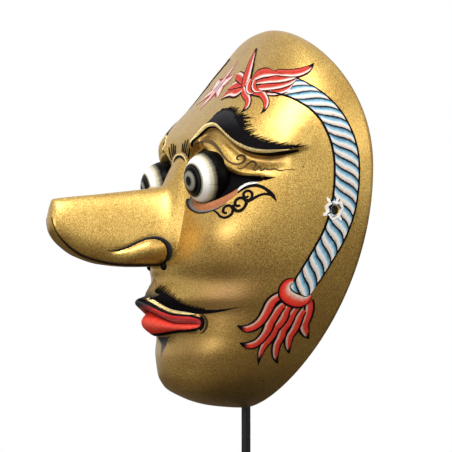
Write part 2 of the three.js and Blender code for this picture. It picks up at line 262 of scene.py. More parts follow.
# %% [markdown]
# ## The carved face
# The face is an egg cut open at the back. Its middle line, its outline and its back edge are three
# simple curves, and every horizontal section is a rounded box between them. The carving is a
# second rule on top: brow, lids, cheeks, muzzle and lips are swells and dips that stand on
# the egg. A place on the face is named by its chart: how far round it is, and how high.

# %% Curves and swells
def curve_through(points):
    """A smooth curve through (position, value) points, with no overshoot between them."""
    place, value = np.array(points, float).T
    slope = np.diff(value) / np.diff(place)
    tangent = np.concatenate([slope[:1], np.zeros(len(place) - 2), slope[-1:]])
    for i in range(1, len(place) - 1):
        before, after = slope[i - 1], slope[i]
        if before * after > 0:
            tangent[i] = 2 * before * after / (before + after)

    def at(v):
        i = np.clip(np.searchsorted(place, v, side="right") - 1, 0, len(place) - 2)
        step = place[i + 1] - place[i]
        t = np.clip((v - place[i]) / step, 0, 1)
        rise = value[i + 1] - value[i]
        bend = (1 - t) * (tangent[i] * step - rise) + t * (rise - tangent[i + 1] * step)
        return value[i] + rise * t + t * (1 - t) * bend

    return at


def bell(v):
    return np.exp(-np.square(v))


def smooth(start, end, v):
    t = np.clip((v - start) / (end - start), 0, 1)
    return t * t * (3 - 2 * t)


def window(start, end, fade, v):
    return smooth(start, start + fade, v) * (1 - smooth(end - fade, end, v))


# %% The plain egg
BOTTOM, TOP, WIDEST_Z, HALF_WIDTH = 3.0, 204.0, 128.0, 74.0
CHART_RADIUS = 72.0
SECTION_POWER = 2.4
WALL, WALL_AHEAD = 8.0, 0.89  # the wall in millimetres, and how much of the depth the hollow takes
EYE_BOSS = 3.4  # extra wall behind each eyeball, in millimetres
middle_line = curve_through([
    (3, -3), (3.6, -12), (5.2, -24), (8.5, -34), (14.4, -43.6), (21, -46.4), (31, -46.8), (42, -45.2),
    (52, -46), (61, -48.2), (70, -47.4), (78, -48.6), (90, -47), (105, -44), (118, -40.5),
    (128, -38.5), (137, -39), (144, -38.5), (150, -35.5), (160, -27.5), (170, -18.5), (180, -10.5),
    (190, -3), (197, 1.5), (201, 4.5), (203.2, 6.8), (204, 8.9),
])


def outline_half_width(z):
    up = np.clip((z - WIDEST_Z) / (TOP - WIDEST_Z), 0, 1)
    down = np.clip((WIDEST_Z - z) / (WIDEST_Z - BOTTOM), 0, 1)
    above = (1 - up**2.15) ** (1 / 2.15)
    below = (1 - down**2) ** (1 / 2.1)
    return HALF_WIDTH * np.where(z > WIDEST_Z, above, below)


def rim_depth(z):
    above = z - 126
    return 34.4 - np.where(above > 0, 0.0042, 0.0025) * above * above


def section_radius(angle, z):
    across = np.abs(np.sin(angle)) / np.maximum(outline_half_width(z), 1e-6)
    ahead = np.abs(np.cos(angle)) / np.maximum(rim_depth(z) - middle_line(z), 1e-6)
    return (across**SECTION_POWER + ahead**SECTION_POWER) ** (-1 / SECTION_POWER)


# %% The carving
brow_edge = curve_through([
    (8, 131), (17.5, 139.8), (22, 144.8), (27, 148), (32, 148.4), (37, 146.2), (43, 141),
    (49, 136.3), (56, 133.3), (63, 132.4), (70, 132.8), (80, 135),
])
eye_top = curve_through([
    (9, 122), (12.5, 133), (17, 137.6), (22, 138.6), (27.5, 136.6), (32, 132.3), (37, 127.6), (43, 124.2),
    (50, 121.4), (58, 120.4), (66, 120),
])
eye_bottom = curve_through([
    (9, 122), (12.5, 114.5), (18, 110), (24, 108.2), (30, 108), (37, 109.3), (43, 111.6), (49, 115.2),
    (54, 117.3), (60, 118.4), (66, 120),
])


def mouth_line(u):
    return 47.8 + 6.6 * bell(u / 10)


def upper_lip_edge(u):
    return 51.6 + 9 * bell(u / 9.5)


def lower_lip_edge(u):
    return 45 - 4 * bell(u / 9)


def relief(u, z):
    """How far the carving stands out from the egg, at a place u round the face and a height z."""
    side = np.abs(u)
    out = 7 * bell(side / 17) * bell((z - 56) / 17)  # muzzle
    out += 3 * bell((side - 42) / 18) * bell((z - 95) / 14)  # cheekbone
    out -= 1.7 * bell((side - 44) / 18) * bell((z - 64) / 17)  # hollow of the cheek
    out += 3.4 * bell(side / 10) * bell((z - 76) / 7)  # slope from the nose to the lip
    out += 2.4 * bell(side / 8) * bell((z - 63) / 4)  # swell over the lip's beak
    out += 1.5 * bell(side / 16) * bell((z - 25) / 12)  # chin
    out -= 1.2 * bell(side / 12) * bell((z - 37) / 3)  # dip under the lower lip

    above = z - brow_edge(side)
    ridge = (1.0 + 2.2 * smooth(22, 46, side)) * window(6, 84, 16, side) * bell(above / 11)
    recess = -3.2 * window(12, 74, 12, side) * bell((above + 4.5) / 4.5)
    step = smooth(-2.0, 0.7, above)
    out += recess * (1 - step) + ridge * step

    lid = z - eye_top(side)
    out += 2.0 * window(9, 64, 9, side) * bell((lid - 2.2) / 2.2)
    opening = smooth(0, 1.2, -lid) * smooth(0, 1.2, z - eye_bottom(side)) * window(9, 66, 3, side)
    out -= 1.8 * opening
    out += 0.7 * window(9, 50, 9, side) * bell((z - eye_bottom(side) + 2) / 1.8)

    lips = window(-33, 33, 4, u)
    line = mouth_line(u)
    upper = np.clip((z - line) / (upper_lip_edge(u) + 1.2 - line), 0, 1)
    lower = np.clip((line - z) / (line - lower_lip_edge(u) + 1.2), 0, 1)
    out += lips * (2 + 5.5 * bell(u / 8)) * np.sin(np.pi * upper) ** 0.8
    out += lips * (2.4 + 5.5 * bell(u / 10)) * np.sin(np.pi * lower) ** 0.8
    return out


def skin_points(angle, z):
    """Points of the carved skin in millimetres, the mask's own zero at the chin."""
    fade = smooth(BOTTOM, BOTTOM + 12, z) * (1 - smooth(TOP - 12, TOP, z))
    fade = fade * smooth(0, 0.25, math.pi / 2 - np.abs(angle))
    radius = section_radius(angle, z) + relief(CHART_RADIUS * angle, z) * fade
    return np.stack([radius * np.sin(angle), rim_depth(z) - radius * np.cos(angle), z + 0 * angle], -1)


def hollow_points(angle, z):
    """The inside, with a hook knife's shallow scallops, and thicker behind each eyeball."""
    radius = section_radius(angle, z)
    scallop = 0.35 * np.sin(z * 0.55 + 2 * np.sin(angle * 9)) * np.sin(angle * 22 + z * 0.07)
    radius = radius + scallop * smooth(0, 0.3, math.pi / 2 - np.abs(angle)) * smooth(BOTTOM, 30, z)
    eye_boss = bell((np.abs(radius * np.sin(angle)) - 26) / 15) * bell((z - 112) / 16)
    radius = radius - EYE_BOSS * eye_boss
    middle = (TOP + BOTTOM) / 2
    height = middle + (z - middle) * (1 - 2 * WALL / (TOP - BOTTOM))
    x = (1 - WALL / HALF_WIDTH) * radius * np.sin(angle)
    return np.stack([x, rim_depth(z) - WALL_AHEAD * radius * np.cos(angle), height + 0 * angle], -1)


# %% Build the shell
CHART_SCALE = 240.0  # millimetres of chart across the whole unit square of the skin's UV map


def crowded(start, end, count, spacing):
    """Places from start to end whose gaps follow a spacing rule."""
    fine = np.linspace(start, end, 4001)
    need = 1 / spacing(fine)
    steps = np.concatenate([[0], np.cumsum((need[1:] + need[:-1]) / 2)])
    return np.interp(np.linspace(0, steps[-1], count), steps, fine)


def row_spacing(z):
    """Fine rows over the mouth, the eyes and the brows, and at both ends where the skin lies flat."""
    carved = np.maximum(window(36, 70, 6, z), window(98, 160, 8, z))
    ends = np.clip(np.minimum(z - BOTTOM, TOP - z) / 24, 0.02, 1)
    return (1.15 - 0.6 * carved) * ends


def column_spacing(angle):
    return 1.0 - 0.62 * (1 - smooth(70, 88, CHART_RADIUS * np.abs(angle)))


def grid_faces(columns, rows, first=0, flip=False):
    """Quads of a grid of points stored row by row."""
    i, j = np.meshgrid(np.arange(columns - 1), np.arange(rows - 1))
    a = first + j * columns + i
    quads = np.stack([a, a + 1, a + 1 + columns, a + columns], -1).reshape(-1, 4)
    return quads[:, ::-1] if flip else quads


def mesh_from(name, points, faces, uv=None):
    """A mesh from points in metres, with each loop's UV read from a table by vertex."""
    mesh = bpy.data.meshes.new(name)
    mesh.from_pydata(np.asarray(points).tolist(), [], [list(map(int, face)) for face in faces])
    if uv is not None:
        corner = np.zeros(len(mesh.loops), int)
        mesh.loops.foreach_get("vertex_index", corner)
        layer = mesh.uv_layers.new(name="chart")
        layer.data.foreach_set("uv", np.asarray(uv)[corner].astype(np.float32).ravel())
    return mesh


def lift(points_mm):
    """Mask millimetres to metres in the part's frame."""
    return (points_mm + np.array([0, 0, CHIN_Z])) * MM


COLUMNS, ROWS, HOLLOW_COLUMNS = 261, 250, 41
heights = crowded(BOTTOM, TOP, ROWS, row_spacing)
angles = crowded(-math.pi / 2, math.pi / 2, COLUMNS, column_spacing)
angle_grid, height_grid = np.meshgrid(angles, heights)
outer = lift(skin_points(angle_grid, height_grid)).reshape(-1, 3)
across_uv = CHART_RADIUS * angle_grid / CHART_SCALE + 0.5
chart_uv = np.stack([across_uv, height_grid / CHART_SCALE], -1).reshape(-1, 2)
skin_faces = grid_faces(COLUMNS, ROWS)
skin_sheet = add_piece("skin_sheet", mesh_from("skin_sheet", outer, skin_faces, chart_uv), [])

inner_angles = np.linspace(-math.pi / 2, math.pi / 2, HOLLOW_COLUMNS)
inner_grid, inner_heights = np.meshgrid(inner_angles, heights)
inner = lift(hollow_points(inner_grid, inner_heights)).reshape(-1, 3)
first_inner = COLUMNS * ROWS
rim_faces = []
for row in range(ROWS - 1):
    for edge_out, edge_in, turn in ((COLUMNS - 1, HOLLOW_COLUMNS - 1, 1), (0, 0, -1)):
        a, b = row * COLUMNS + edge_out, (row + 1) * COLUMNS + edge_out
        c = first_inner + (row + 1) * HOLLOW_COLUMNS + edge_in
        rim_faces.append([a, c - HOLLOW_COLUMNS, c, b][::turn])
shell_points = np.concatenate([outer, inner])
shell_faces = np.concatenate([
    skin_faces,
    grid_faces(HOLLOW_COLUMNS, ROWS, first_inner, flip=True),
    np.array(rim_faces),
])
shell_uv = np.concatenate([chart_uv, np.zeros((len(inner), 2))])
shell_mesh = mesh_from("carved_face", shell_points, shell_faces, shell_uv)
store(shell_mesh, "inside", np.concatenate([np.zeros(len(outer)), np.ones(len(inner))]))
print("shell:", len(shell_points), "points,", len(shell_faces), "faces")

# %% [markdown]
# ## Gold paint
# The face is gilded with bronze powder in varnish over gesso. Powder gold isn't a mirror: each
# flake lies at its own angle, so the surface glitters at the size of a grain of salt and stays soft
# at arm's length. The finish mixes two fine noises for the flakes, a slow one for thick and thin
# coats, and sparse dark specks for wear. Brown painted shade darkens the gold under the brow, in
# the crease over the lid, above the lip, over the lower cheek and chin, and towards the bottom.

# %% Gold and painted shade
def gold_finish(name, with_painted_shade=False):
    gold = Finish(name, metallic=0.9, roughness=0.4, Coat_Weight=0.6, Coat_Roughness=0.35)
    flakes = gold.noise(1900, 2)
    coat = gold.noise(38, 4)
    colour = gold.ramp(flakes, [
        (0.32, (0.42, 0.235, 0.040)), (0.5, (0.62, 0.39, 0.085)), (0.68, (0.88, 0.63, 0.19)),
    ])
    thin = gold.ramp(coat, [(0.35, (0.84, 0.78, 0.66)), (0.65, (1, 1, 1))])
    colour = gold.mix(1.0, colour, thin, blend="MULTIPLY")
    specks = gold.grey(gold.noise(520, 1), 0, 0.8, 0.765, 0.785)
    colour = gold.mix(specks, colour, (0.10, 0.06, 0.03))
    # Where painted shade is stored on the face, the gold is mixed towards dark brown.
    if with_painted_shade:
        colour = gold.mix(gold.attribute("painted_shade"), colour, (0.24, 0.125, 0.028))
    gold.colour(colour)
    gold.rough(gold.grey(flakes, 0.30, 0.50, 0.3, 0.7))
    gold.bump(gold.noise(1300, 4), 0.35, 0.00025)
    return gold


face_gold = gold_finish("gold_paint_on_face", with_painted_shade=True)
nose_gold = gold_finish("gold_paint_on_nose")

side_u = np.abs(CHART_RADIUS * angle_grid)
below_brow = height_grid - brow_edge(side_u)
# Painted shade: brown in the recess under the brow, the crease over the lid, above the lip, over the cheek
# hollow, the muzzle side and the chin, and more towards the bottom of the face.
painted_shade = 0.8 * bell((below_brow + 2.2) / 2.4) * window(14, 78, 12, side_u)
painted_shade += 0.35 * bell((height_grid - eye_top(side_u) - 5.2) / 1.3) * window(20, 50, 10, side_u)
painted_shade += 0.35 * bell((height_grid - upper_lip_edge(side_u) - 1) / 3) * window(-1, 36, 8, side_u)
painted_shade += 0.55 * bell((side_u - 50) / 22) * bell((height_grid - 70) / 20)
painted_shade += 0.30 * bell((side_u - 46) / 20) * bell((height_grid - 61) / 9)
painted_shade += 0.40 * bell((side_u - 32) / 18) * bell((height_grid - 34) / 9)
painted_shade += 0.30 * smooth(88, 50, height_grid)
store(shell_mesh, "painted_shade", np.concatenate([np.clip(painted_shade, 0, 1).ravel(), np.zeros(len(inner))]))

bare = Finish("hollow_paint", roughness=0.75)
brushed = bare.stretched((90, 90, 900))
bare.two_tones(brushed, (0.030, 0.022, 0.016), (0.095, 0.066, 0.045), end=0.75)
bare.bump(brushed, 0.4, 0.0004)
bare.rough(bare.grey(bare.noise(60), 0.6, 0.9))

# %% Weld, bore the strap holes and finish the shell
HOLE_Y, HOLE_Z, HOLE_RADIUS = 14.0, 104.0, 2.4
DRILL_LENGTH = 200.0  # longer than the mask is wide, so one drill makes both holes


def weld(mesh, distance=1e-6):
    """Joins points that lie in one place, and drops faces that have no area left."""
    def join(shape):
        bmesh.ops.remove_doubles(shape, verts=shape.verts, dist=distance)
        bmesh.ops.dissolve_degenerate(shape, edges=shape.edges, dist=distance)

    reshape(mesh, join)


def applied(obj):
    """The object with its modifiers worked into its mesh, and the modifiers gone."""
    graph = bpy.context.evaluated_depsgraph_get()
    made = obj.evaluated_get(graph)
    mesh = bpy.data.meshes.new_from_object(made, preserve_all_data_layers=True, depsgraph=graph)
    obj.modifiers.clear()
    obj.data = mesh
    return obj


def drill_solid(shape):
    """A round bar across the mask, at the height of the strap holes."""
    radius = HOLE_RADIUS * MM
    bmesh.ops.create_cone(
        shape, cap_ends=True, segments=40, radius1=radius, radius2=radius, depth=DRILL_LENGTH * MM,
    )
    bmesh.ops.rotate(shape, verts=shape.verts, matrix=Matrix.Rotation(math.pi / 2, 3, "Y"))
    bmesh.ops.translate(shape, verts=shape.verts, vec=(0, HOLE_Y * MM, (CHIN_Z + HOLE_Z) * MM))


def bored(obj, overlapping=False):
    """The object with the strap holes cut through it. Slabs that overlap need the slower way."""
    bore = obj.modifiers.new("strap_holes", "BOOLEAN")
    bore.object = drill
    bore.solver = "EXACT"
    bore.use_self = overlapping
    return applied(obj)


drill_mesh = bpy.data.meshes.new("drill")
reshape(drill_mesh, drill_solid)
drill = add_piece("drill", drill_mesh, [bare.material])
weld(shell_mesh)
face = bored(add_piece("carved_face", shell_mesh, [face_gold.material, bare.material]))
point_inside = np.zeros(len(face.data.vertices))
face.data.attributes["inside"].data.foreach_get("value", point_inside)
for polygon in face.data.polygons:
    polygon.material_index = int(np.mean(point_inside[list(polygon.vertices)]) > 0.01)
    polygon.use_smooth = True
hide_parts("mask_shell")
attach(face, "mask")
print("carved face:", len(face.data.polygons), "faces")

# %% [markdown]
# ## The nose
# The nose is a thin upright blade, let into the face and dowelled. It is drawn as a row of leaning
# ovals whose top, underside and width are three curves. The wing of the nostril is a swell on each
# side with a carved groove over it, and the tip is nearly square at the top.

# %% The nose's form
nose_top = curve_through([
    (36, 137), (39, 134), (41.2, 129), (42.8, 123), (45, 119.6), (49, 118.1), (60, 116.4),
    (80, 113.6), (100, 111), (103.4, 110.2), (104.2, 105),
])
nose_under = curve_through([
    (36, 77.2), (55.7, 76.7), (72, 77.8), (86, 81.6), (95, 86.8), (101, 92.6), (103.6, 98.4),
    (104.2, 105),
])
nose_half_width = curve_through([
    (36, 19), (39, 16.5), (44, 13.6), (50, 11.8), (60, 10.2), (80, 8.6), (95, 7.2), (101, 5.8),
    (103.4, 3.6), (104.2, 0),
])
wing_edge = curve_through([
    (40, 78), (41.4, 84), (43.6, 88), (47, 90.4), (51.5, 91), (57, 89.2), (63, 86), (68, 84.4),
    (74, 84),
])
NOSE_LEAN, NOSE_ROOT_Z = 0.18, 134.0
NOSE_START, NOSE_END = 36.0, 104.19


def nose_points(along, turn):
    """Points of the nose at a distance along it and a turn round it, 0 at its left side, in radians."""
    top, under = nose_top(along), nose_under(along)
    rise = np.sign(np.sin(turn)) * np.abs(np.sin(turn)) ** 0.8
    wide = np.sign(np.cos(turn)) * np.abs(np.cos(turn)) ** 0.8
    z = (top + under) / 2 + (top - under) / 2 * rise
    below = wing_edge(along) - z
    wing = 3.8 * np.sin(math.pi * np.clip((below + 0.4) / 18, 0, 1)) ** 0.75 * window(37, 76, 18, along)
    wing -= 0.9 * bell(below / 0.9) * window(38, 72, 6, along)
    x = nose_half_width(along) * wide * (1 - 0.25 * rise) + np.sign(wide) * np.abs(wide) ** 0.5 * wing
    return np.stack([x, -along + NOSE_LEAN * (z - NOSE_ROOT_Z), z], -1)


NOSE_RINGS, NOSE_SIDES = 150, 128
alongs = NOSE_START + (NOSE_END - NOSE_START) * np.sin(np.linspace(0, math.pi / 2, NOSE_RINGS)) ** 1.15
turns = np.linspace(-math.pi / 2, 1.5 * math.pi, NOSE_SIDES + 1)
turn_grid, along_grid = np.meshgrid(turns, alongs)
nose_shape = lift(nose_points(along_grid, turn_grid))
nose_grid = nose_shape.reshape(-1, 3)
nose_side = np.where(turn_grid <= math.pi / 2 + 1e-6, 1, -1)
nose_height = nose_grid[:, 2] / MM - CHIN_Z
nose_across = nose_side.ravel() * along_grid.ravel() / CHART_SCALE + 0.5
nose_uv = np.stack([nose_across, nose_height / CHART_SCALE], -1)

half = NOSE_SIDES // 2 + 1
left_half = nose_shape[:, :half].reshape(-1, 3)
left_uv = nose_uv.reshape(NOSE_RINGS, NOSE_SIDES + 1, 2)[:, :half].reshape(-1, 2)
left_faces = grid_faces(half, NOSE_RINGS, flip=True)
nose_sheet = add_piece("nose_sheet", mesh_from("nose_sheet", left_half, left_faces, left_uv), [])


def close_ends(shape):
    bmesh.ops.holes_fill(shape, edges=[e for e in shape.edges if e.is_boundary])


nose_mesh = mesh_from("nose_blade", nose_grid, grid_faces(NOSE_SIDES + 1, NOSE_RINGS, flip=True))
weld(nose_mesh)
reshape(nose_mesh, close_ends, face_outward)
nose = add_piece("nose_blade", nose_mesh, [nose_gold.material])
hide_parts("nose")
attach(nose, "mask")

# %% [markdown]
# ## The eyeballs
# Each eye is a turned ball set into the face, so that it bulges. A painter would spin it in
# the fingers and hold the brush still, which gives true rings. Here each point of the ball carries
# its angle from the eye's axis, and the finish reads rings from that angle. The white
# darkens towards the socket in short dry strokes.

# %% Eyeballs
EYE = {
    "x": 30.0, "y": -34.0, "z": 121.5, "radius": 13.8, "turn_out": 8.0, "look_down": 10.0, "back": 2.0,
}
EYE_RINGS, EYE_COLUMNS = 60, 97

eye_paint = Finish("eye_paint", roughness=0.35, Specular_IOR_Level=0.04)
ring = eye_paint.attribute("ring")
around = eye_paint.node("ShaderNodeAttribute", attribute_name="around").outputs["Vector"]
streak = eye_paint.grey(eye_paint.stretched((30, 30, 1), 3, around), -5, 5)
frayed = eye_paint.node("ShaderNodeMath", {0: ring, 1: streak}, operation="ADD").outputs[0]
rings = eye_paint.ramp(eye_paint.grey(ring, 0, 1, 0, 90), [
    (0.00, (0.004, 0.004, 0.006)), (0.100, (0.006, 0.006, 0.008)), (0.12, (0.17, 0.17, 0.16)),
    (0.175, (0.30, 0.28, 0.22)), (0.225, (0.16, 0.145, 0.11)), (0.25, (0.002, 0.002, 0.003)),
    (0.33, (0.004, 0.004, 0.005)), (0.345, (0.04, 0.038, 0.032)), (0.36, (0.004, 0.004, 0.005)),
    (0.395, (0.003, 0.003, 0.004)), (0.41, (0.22, 0.20, 0.12)), (0.435, (0.35, 0.33, 0.24)),
    (0.455, (0.90, 0.89, 0.84)), (1.0, (0.92, 0.91, 0.86)),
])
shade = eye_paint.ramp(eye_paint.grey(frayed, 0, 1, 0, 90), [
    (0.55, (1, 1, 1)), (0.66, (0.60, 0.56, 0.44)), (0.74, (0.16, 0.14, 0.10)),
    (0.80, (0.002, 0.002, 0.002)),
], smooth=True)
eye_paint.colour(eye_paint.mix(1.0, rings, shade, blend="MULTIPLY"))
eye_paint.bump(eye_paint.noise(900), 0.15, 0.0001)


def eyeball(name, side):
    """A ball with a flat back, turned to its axis, with its ring angle and its place round it."""
    polar = np.linspace(0, math.acos(-EYE["back"] / EYE["radius"]), EYE_RINGS)
    a, p = np.meshgrid(np.linspace(0, 2 * math.pi, EYE_COLUMNS), polar)
    unit = np.stack([np.sin(p) * np.cos(a), -np.cos(p), np.sin(p) * np.sin(a)], -1)
    points = EYE["radius"] * unit.reshape(-1, 3)
    last = (EYE_RINGS - 1) * EYE_COLUMNS
    faces = grid_faces(EYE_COLUMNS, EYE_RINGS, flip=True).tolist()
    faces += [[len(points), last + i, last + i + 1] for i in range(EYE_COLUMNS - 1)]
    mesh = mesh_from(name, np.concatenate([points, [[0, EYE["back"], 0]]]) * MM, faces)
    store(mesh, "ring", np.append(np.degrees(p).ravel(), 95))
    turn = np.stack([np.cos(a), np.sin(a), p], -1).reshape(-1, 3)
    store(mesh, "around", np.concatenate([turn, np.zeros((1, 3))]), "FLOAT_VECTOR", "vector")
    turned = Euler((math.radians(EYE["look_down"]), 0, side * math.radians(EYE["turn_out"])))
    spin = turned.to_matrix().to_4x4()
    spin.translation = Vector((side * EYE["x"], EYE["y"], CHIN_Z + EYE["z"])) * MM
    mesh.transform(spin)
    weld(mesh)
    reshape(mesh, face_outward)
    ball = add_piece(name, mesh, [eye_paint.material])
    return ball


for side, label in SIDES:
    ball = eyeball(f"{label}_ball", side)
    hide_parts(f"{label}_eyeball")
    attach(ball, "mask")
print("eyeballs:", 2 * EYE["radius"], "mm across")

# %% [markdown]
# ## Brushwork, pressed on to the carving
# The painter works in flat strokes of thick paint, and a stroke follows whatever lies under it.
# So each shape is drawn flat, in millimetres round the face and up it, as a slab a tenth of a
# millimetre thick. One node tree then looks up every point of the slab on the carved skin and
# stands it off along the skin's own slope. Later coats get a greater height, so they lie on top.

# %% The node trees
class Tree:
    """A geometry node tree under construction, with named inputs."""

    def __init__(self, name, **inputs):
        self.tree = bpy.data.node_groups.new(name, "GeometryNodeTree")
        sockets = [("Geometry", "INPUT", "Geometry")]
        sockets += [(label, "INPUT", kind) for label, kind in inputs.items()]
        for label, way, kind in sockets + [("Geometry", "OUTPUT", "Geometry")]:
            self.tree.interface.new_socket(name=label, in_out=way, socket_type=f"NodeSocket{kind}")
        self.given = self.tree.nodes.new("NodeGroupInput").outputs
        self.result = self.tree.nodes.new("NodeGroupOutput").inputs

    def node(self, kind, inputs=None, **settings):
        made = self.tree.nodes.new(kind)
        for key, value in settings.items():
            setattr(made, key, value)
        for key, value in (inputs or {}).items():
            if isinstance(key, int):
                socket = made.inputs[key]
            else:
                socket = next(s for s in made.inputs if s.enabled and key in (s.identifier, s.name))
            if isinstance(value, bpy.types.NodeSocket):
                self.tree.links.new(value, socket)
            else:
                socket.default_value = value
        return next((s for s in made.outputs if s.enabled), None)

    def math(self, operation, first, second=0.0, third=0.0):
        return self.node("ShaderNodeMath", {0: first, 1: second, 2: third}, operation=operation)

    def vector(self, operation, first, second=(0.0, 0.0, 0.0)):
        key = "Scale" if operation == "SCALE" else 1
        return self.node("ShaderNodeVectorMath", {0: first, key: second}, operation=operation)

    def read(self, label):
        """The geometry of an object that is given to the tree."""
        found = self.node("GeometryNodeObjectInfo", {"Object": self.given[label]}).node
        return next(s for s in found.outputs if s.name == "Geometry")

    def parts(self, vector):
        made = self.tree.nodes.new("ShaderNodeSeparateXYZ")
        self.tree.links.new(vector, made.inputs[0])
        return made.outputs

    def press(self, geometry, flat, film):
        """Puts each point where its flat place lies on the sheet, lifted by its film height."""
        sheet = self.read("Sheet")
        chart = self.vector("MULTIPLY_ADD", flat, (1 / CHART_SCALE, 1 / CHART_SCALE, 0))
        chart.node.inputs[2].default_value = (0.5, 0, 0)
        kind = {"data_type": "FLOAT_VECTOR"}
        uv = self.node("GeometryNodeInputNamedAttribute", {"Name": "chart"}, **kind)
        found = []
        for field in ("GeometryNodeInputPosition", "GeometryNodeInputNormal"):
            value = self.node(field)
            inputs = {"Mesh": sheet, "Value": value, "Source UV Map": uv, "Sample UV": chart}
            found.append(self.node("GeometryNodeSampleUVSurface", inputs, **kind))
        lifted = self.vector("SCALE", found[1], self.math("MULTIPLY", film, MM))
        place = self.vector("ADD", found[0], lifted)
        return self.node("GeometryNodeSetPosition", {"Geometry": geometry, "Position": place})

    def finish(self, geometry):
        whole = self.node("GeometryNodeRealizeInstances", {"Geometry": geometry})
        paint = {"Geometry": whole, "Material": self.given["Paint"]}
        painted = self.node("GeometryNodeSetMaterial", paint)
        self.tree.links.new(painted, self.result["Geometry"])
        return self.tree


def grow(obj, tree, **values):
    """Runs a tree on an object, keeps the result as a plain closed mesh, and drops the modifier."""
    modifier = obj.modifiers.new("grown", "NODES")
    modifier.node_group = tree
    for item in tree.interface.items_tree:
        if item.in_out == "INPUT" and item.name in values:
            modifier[item.identifier] = values[item.name]
    applied(obj)
    reshape(obj.data, face_outward)
    return obj


def press_tree():
    work = Tree("press_on_to_skin", Sheet="Object", Paint="Material")
    place = work.node("GeometryNodeInputPosition")
    return work.finish(work.press(work.given["Geometry"], place, work.parts(place)[2]))


def fringe_tree():
    """Hairs in a row along a guide line, their lean and length changing from start to end."""
    work = Tree(
        "hair_fringe", Hair="Object", Sheet="Object", Paint="Material", Count="Int", Lean_start="Float",
        Lean_end="Float", Length_start="Float", Length_end="Float", Wildness="Float", Seed="Int",
    )
    given = work.given
    guide = work.node("GeometryNodeMeshToCurve", {"Mesh": given["Geometry"]})
    roots = work.node("GeometryNodeResampleCurve", {"Curve": guide, "Count": given["Count"]})
    index = work.node("GeometryNodeInputIndex")
    along = work.math("DIVIDE", index, given["Count"])

    def between(start, end, share, seed_step):
        rise = work.math("SUBTRACT", given[end], given[start])
        middle = work.math("MULTIPLY_ADD", along, rise, given[start])
        seed = work.math("ADD", given["Seed"], seed_step)
        limits = {"Min_001": 1 - share, "Max_001": 1 + share, "Seed": seed}
        return middle, work.node("FunctionNodeRandomValue", limits, data_type="FLOAT")

    length, length_chance = between("Length_start", "Length_end", 0.45, 1)
    lean, lean_chance = between("Lean_start", "Lean_end", 1.0, 2)
    lean_chance = work.math("SUBTRACT", lean_chance, 1)
    lean = work.math("RADIANS", work.math("MULTIPLY_ADD", lean_chance, given["Wildness"], lean))
    length = work.math("MULTIPLY", length, length_chance)
    hairs = work.node("GeometryNodeInstanceOnPoints", {
        "Points": roots, "Instance": work.read("Hair"),
        "Rotation": work.node("ShaderNodeCombineXYZ", {2: lean}),
        "Scale": work.node("ShaderNodeCombineXYZ", {0: length, 1: 1.0, 2: 1.0}),
    })
    flat = work.node("GeometryNodeRealizeInstances", {"Geometry": hairs})
    place = work.node("GeometryNodeInputPosition")
    return work.finish(work.press(flat, place, work.parts(place)[2]))


LEAN_FADE = 50.0  # millimetres down the rope over which the extra lean of its top fades out


def rope_tree():
    """Copies of one strand in a row, bent along a centre line, and pressed."""
    work = Tree(
        "rope_strands", Centre="Object", Sheet="Object", Paint="Material", Count="Int", Pitch="Float",
        Start="Float", Half_width="Float", Top_lean="Float",
    )
    given = work.given
    step = work.node("ShaderNodeCombineXYZ", {1: given["Pitch"]})
    first = work.node("ShaderNodeCombineXYZ", {1: given["Start"]})
    row = {"Count": given["Count"], "Start Location": first, "Offset": step}
    copies = {"Points": work.node("GeometryNodeMeshLine", row), "Instance": given["Geometry"]}
    strands = work.node("GeometryNodeInstanceOnPoints", copies)
    flat = work.node("GeometryNodeRealizeInstances", {"Geometry": strands})
    place = work.node("GeometryNodeInputPosition")
    across, down, height = work.parts(place)
    fade = {"Value": down, "From Max": LEAN_FADE, "To Min": given["Top_lean"], "To Max": 0.0}
    fading = work.node("ShaderNodeMapRange", fade, interpolation_type="SMOOTHSTEP")
    down = work.math("MULTIPLY_ADD", across, fading, down)
    line = work.node("GeometryNodeMeshToCurve", {"Mesh": work.read("Centre")})
    inputs = {"Curves": line, "Value": 0.0, "Length": down}
    sample = work.node("GeometryNodeSampleCurve", inputs, mode="LENGTH", use_all_curves=True)
    sample = sample.node.outputs
    tangent = work.parts(sample["Tangent"])
    turned = {0: work.math("MULTIPLY", tangent[1], -1), 1: tangent[0]}
    sideways = work.node("ShaderNodeCombineXYZ", turned)
    offset = work.vector("SCALE", sideways, work.math("MULTIPLY", across, given["Half_width"]))
    return work.finish(work.press(flat, work.vector("ADD", sample["Position"], offset), height))


PRESS, FRINGE, ROPE = press_tree(), fringe_tree(), rope_tree()
print("trees:", PRESS.name, FRINGE.name, ROPE.name)

# %% Flat paint shapes
SKIRT = -0.3  # millimetres that a slab reaches below the skin, so that no gap shows at its edge

INK, SOOT, GREY = (0.004, 0.003, 0.004), (0.035, 0.034, 0.038), (0.20, 0.19, 0.18)
WHITE, CREAM, LIP_HIGHLIGHT_PINK = (0.80, 0.79, 0.75), (0.76, 0.60, 0.46), (0.78, 0.38, 0.31)
RED, DEEP_RED, LIP_RED = (0.66, 0.028, 0.016), (0.15, 0.006, 0.008), (0.45, 0.03, 0.03)
LIP_HIGHLIGHT_CORAL, TERRACOTTA = (0.74, 0.085, 0.055), (0.42, 0.16, 0.07)
PALE_GOLD_HIGHLIGHT, UMBER = (0.90, 0.72, 0.34), (0.10, 0.065, 0.03)


def film(coat):
    """The height of a coat of paint over the skin, in millimetres."""
    return 0.08 + 0.045 * coat


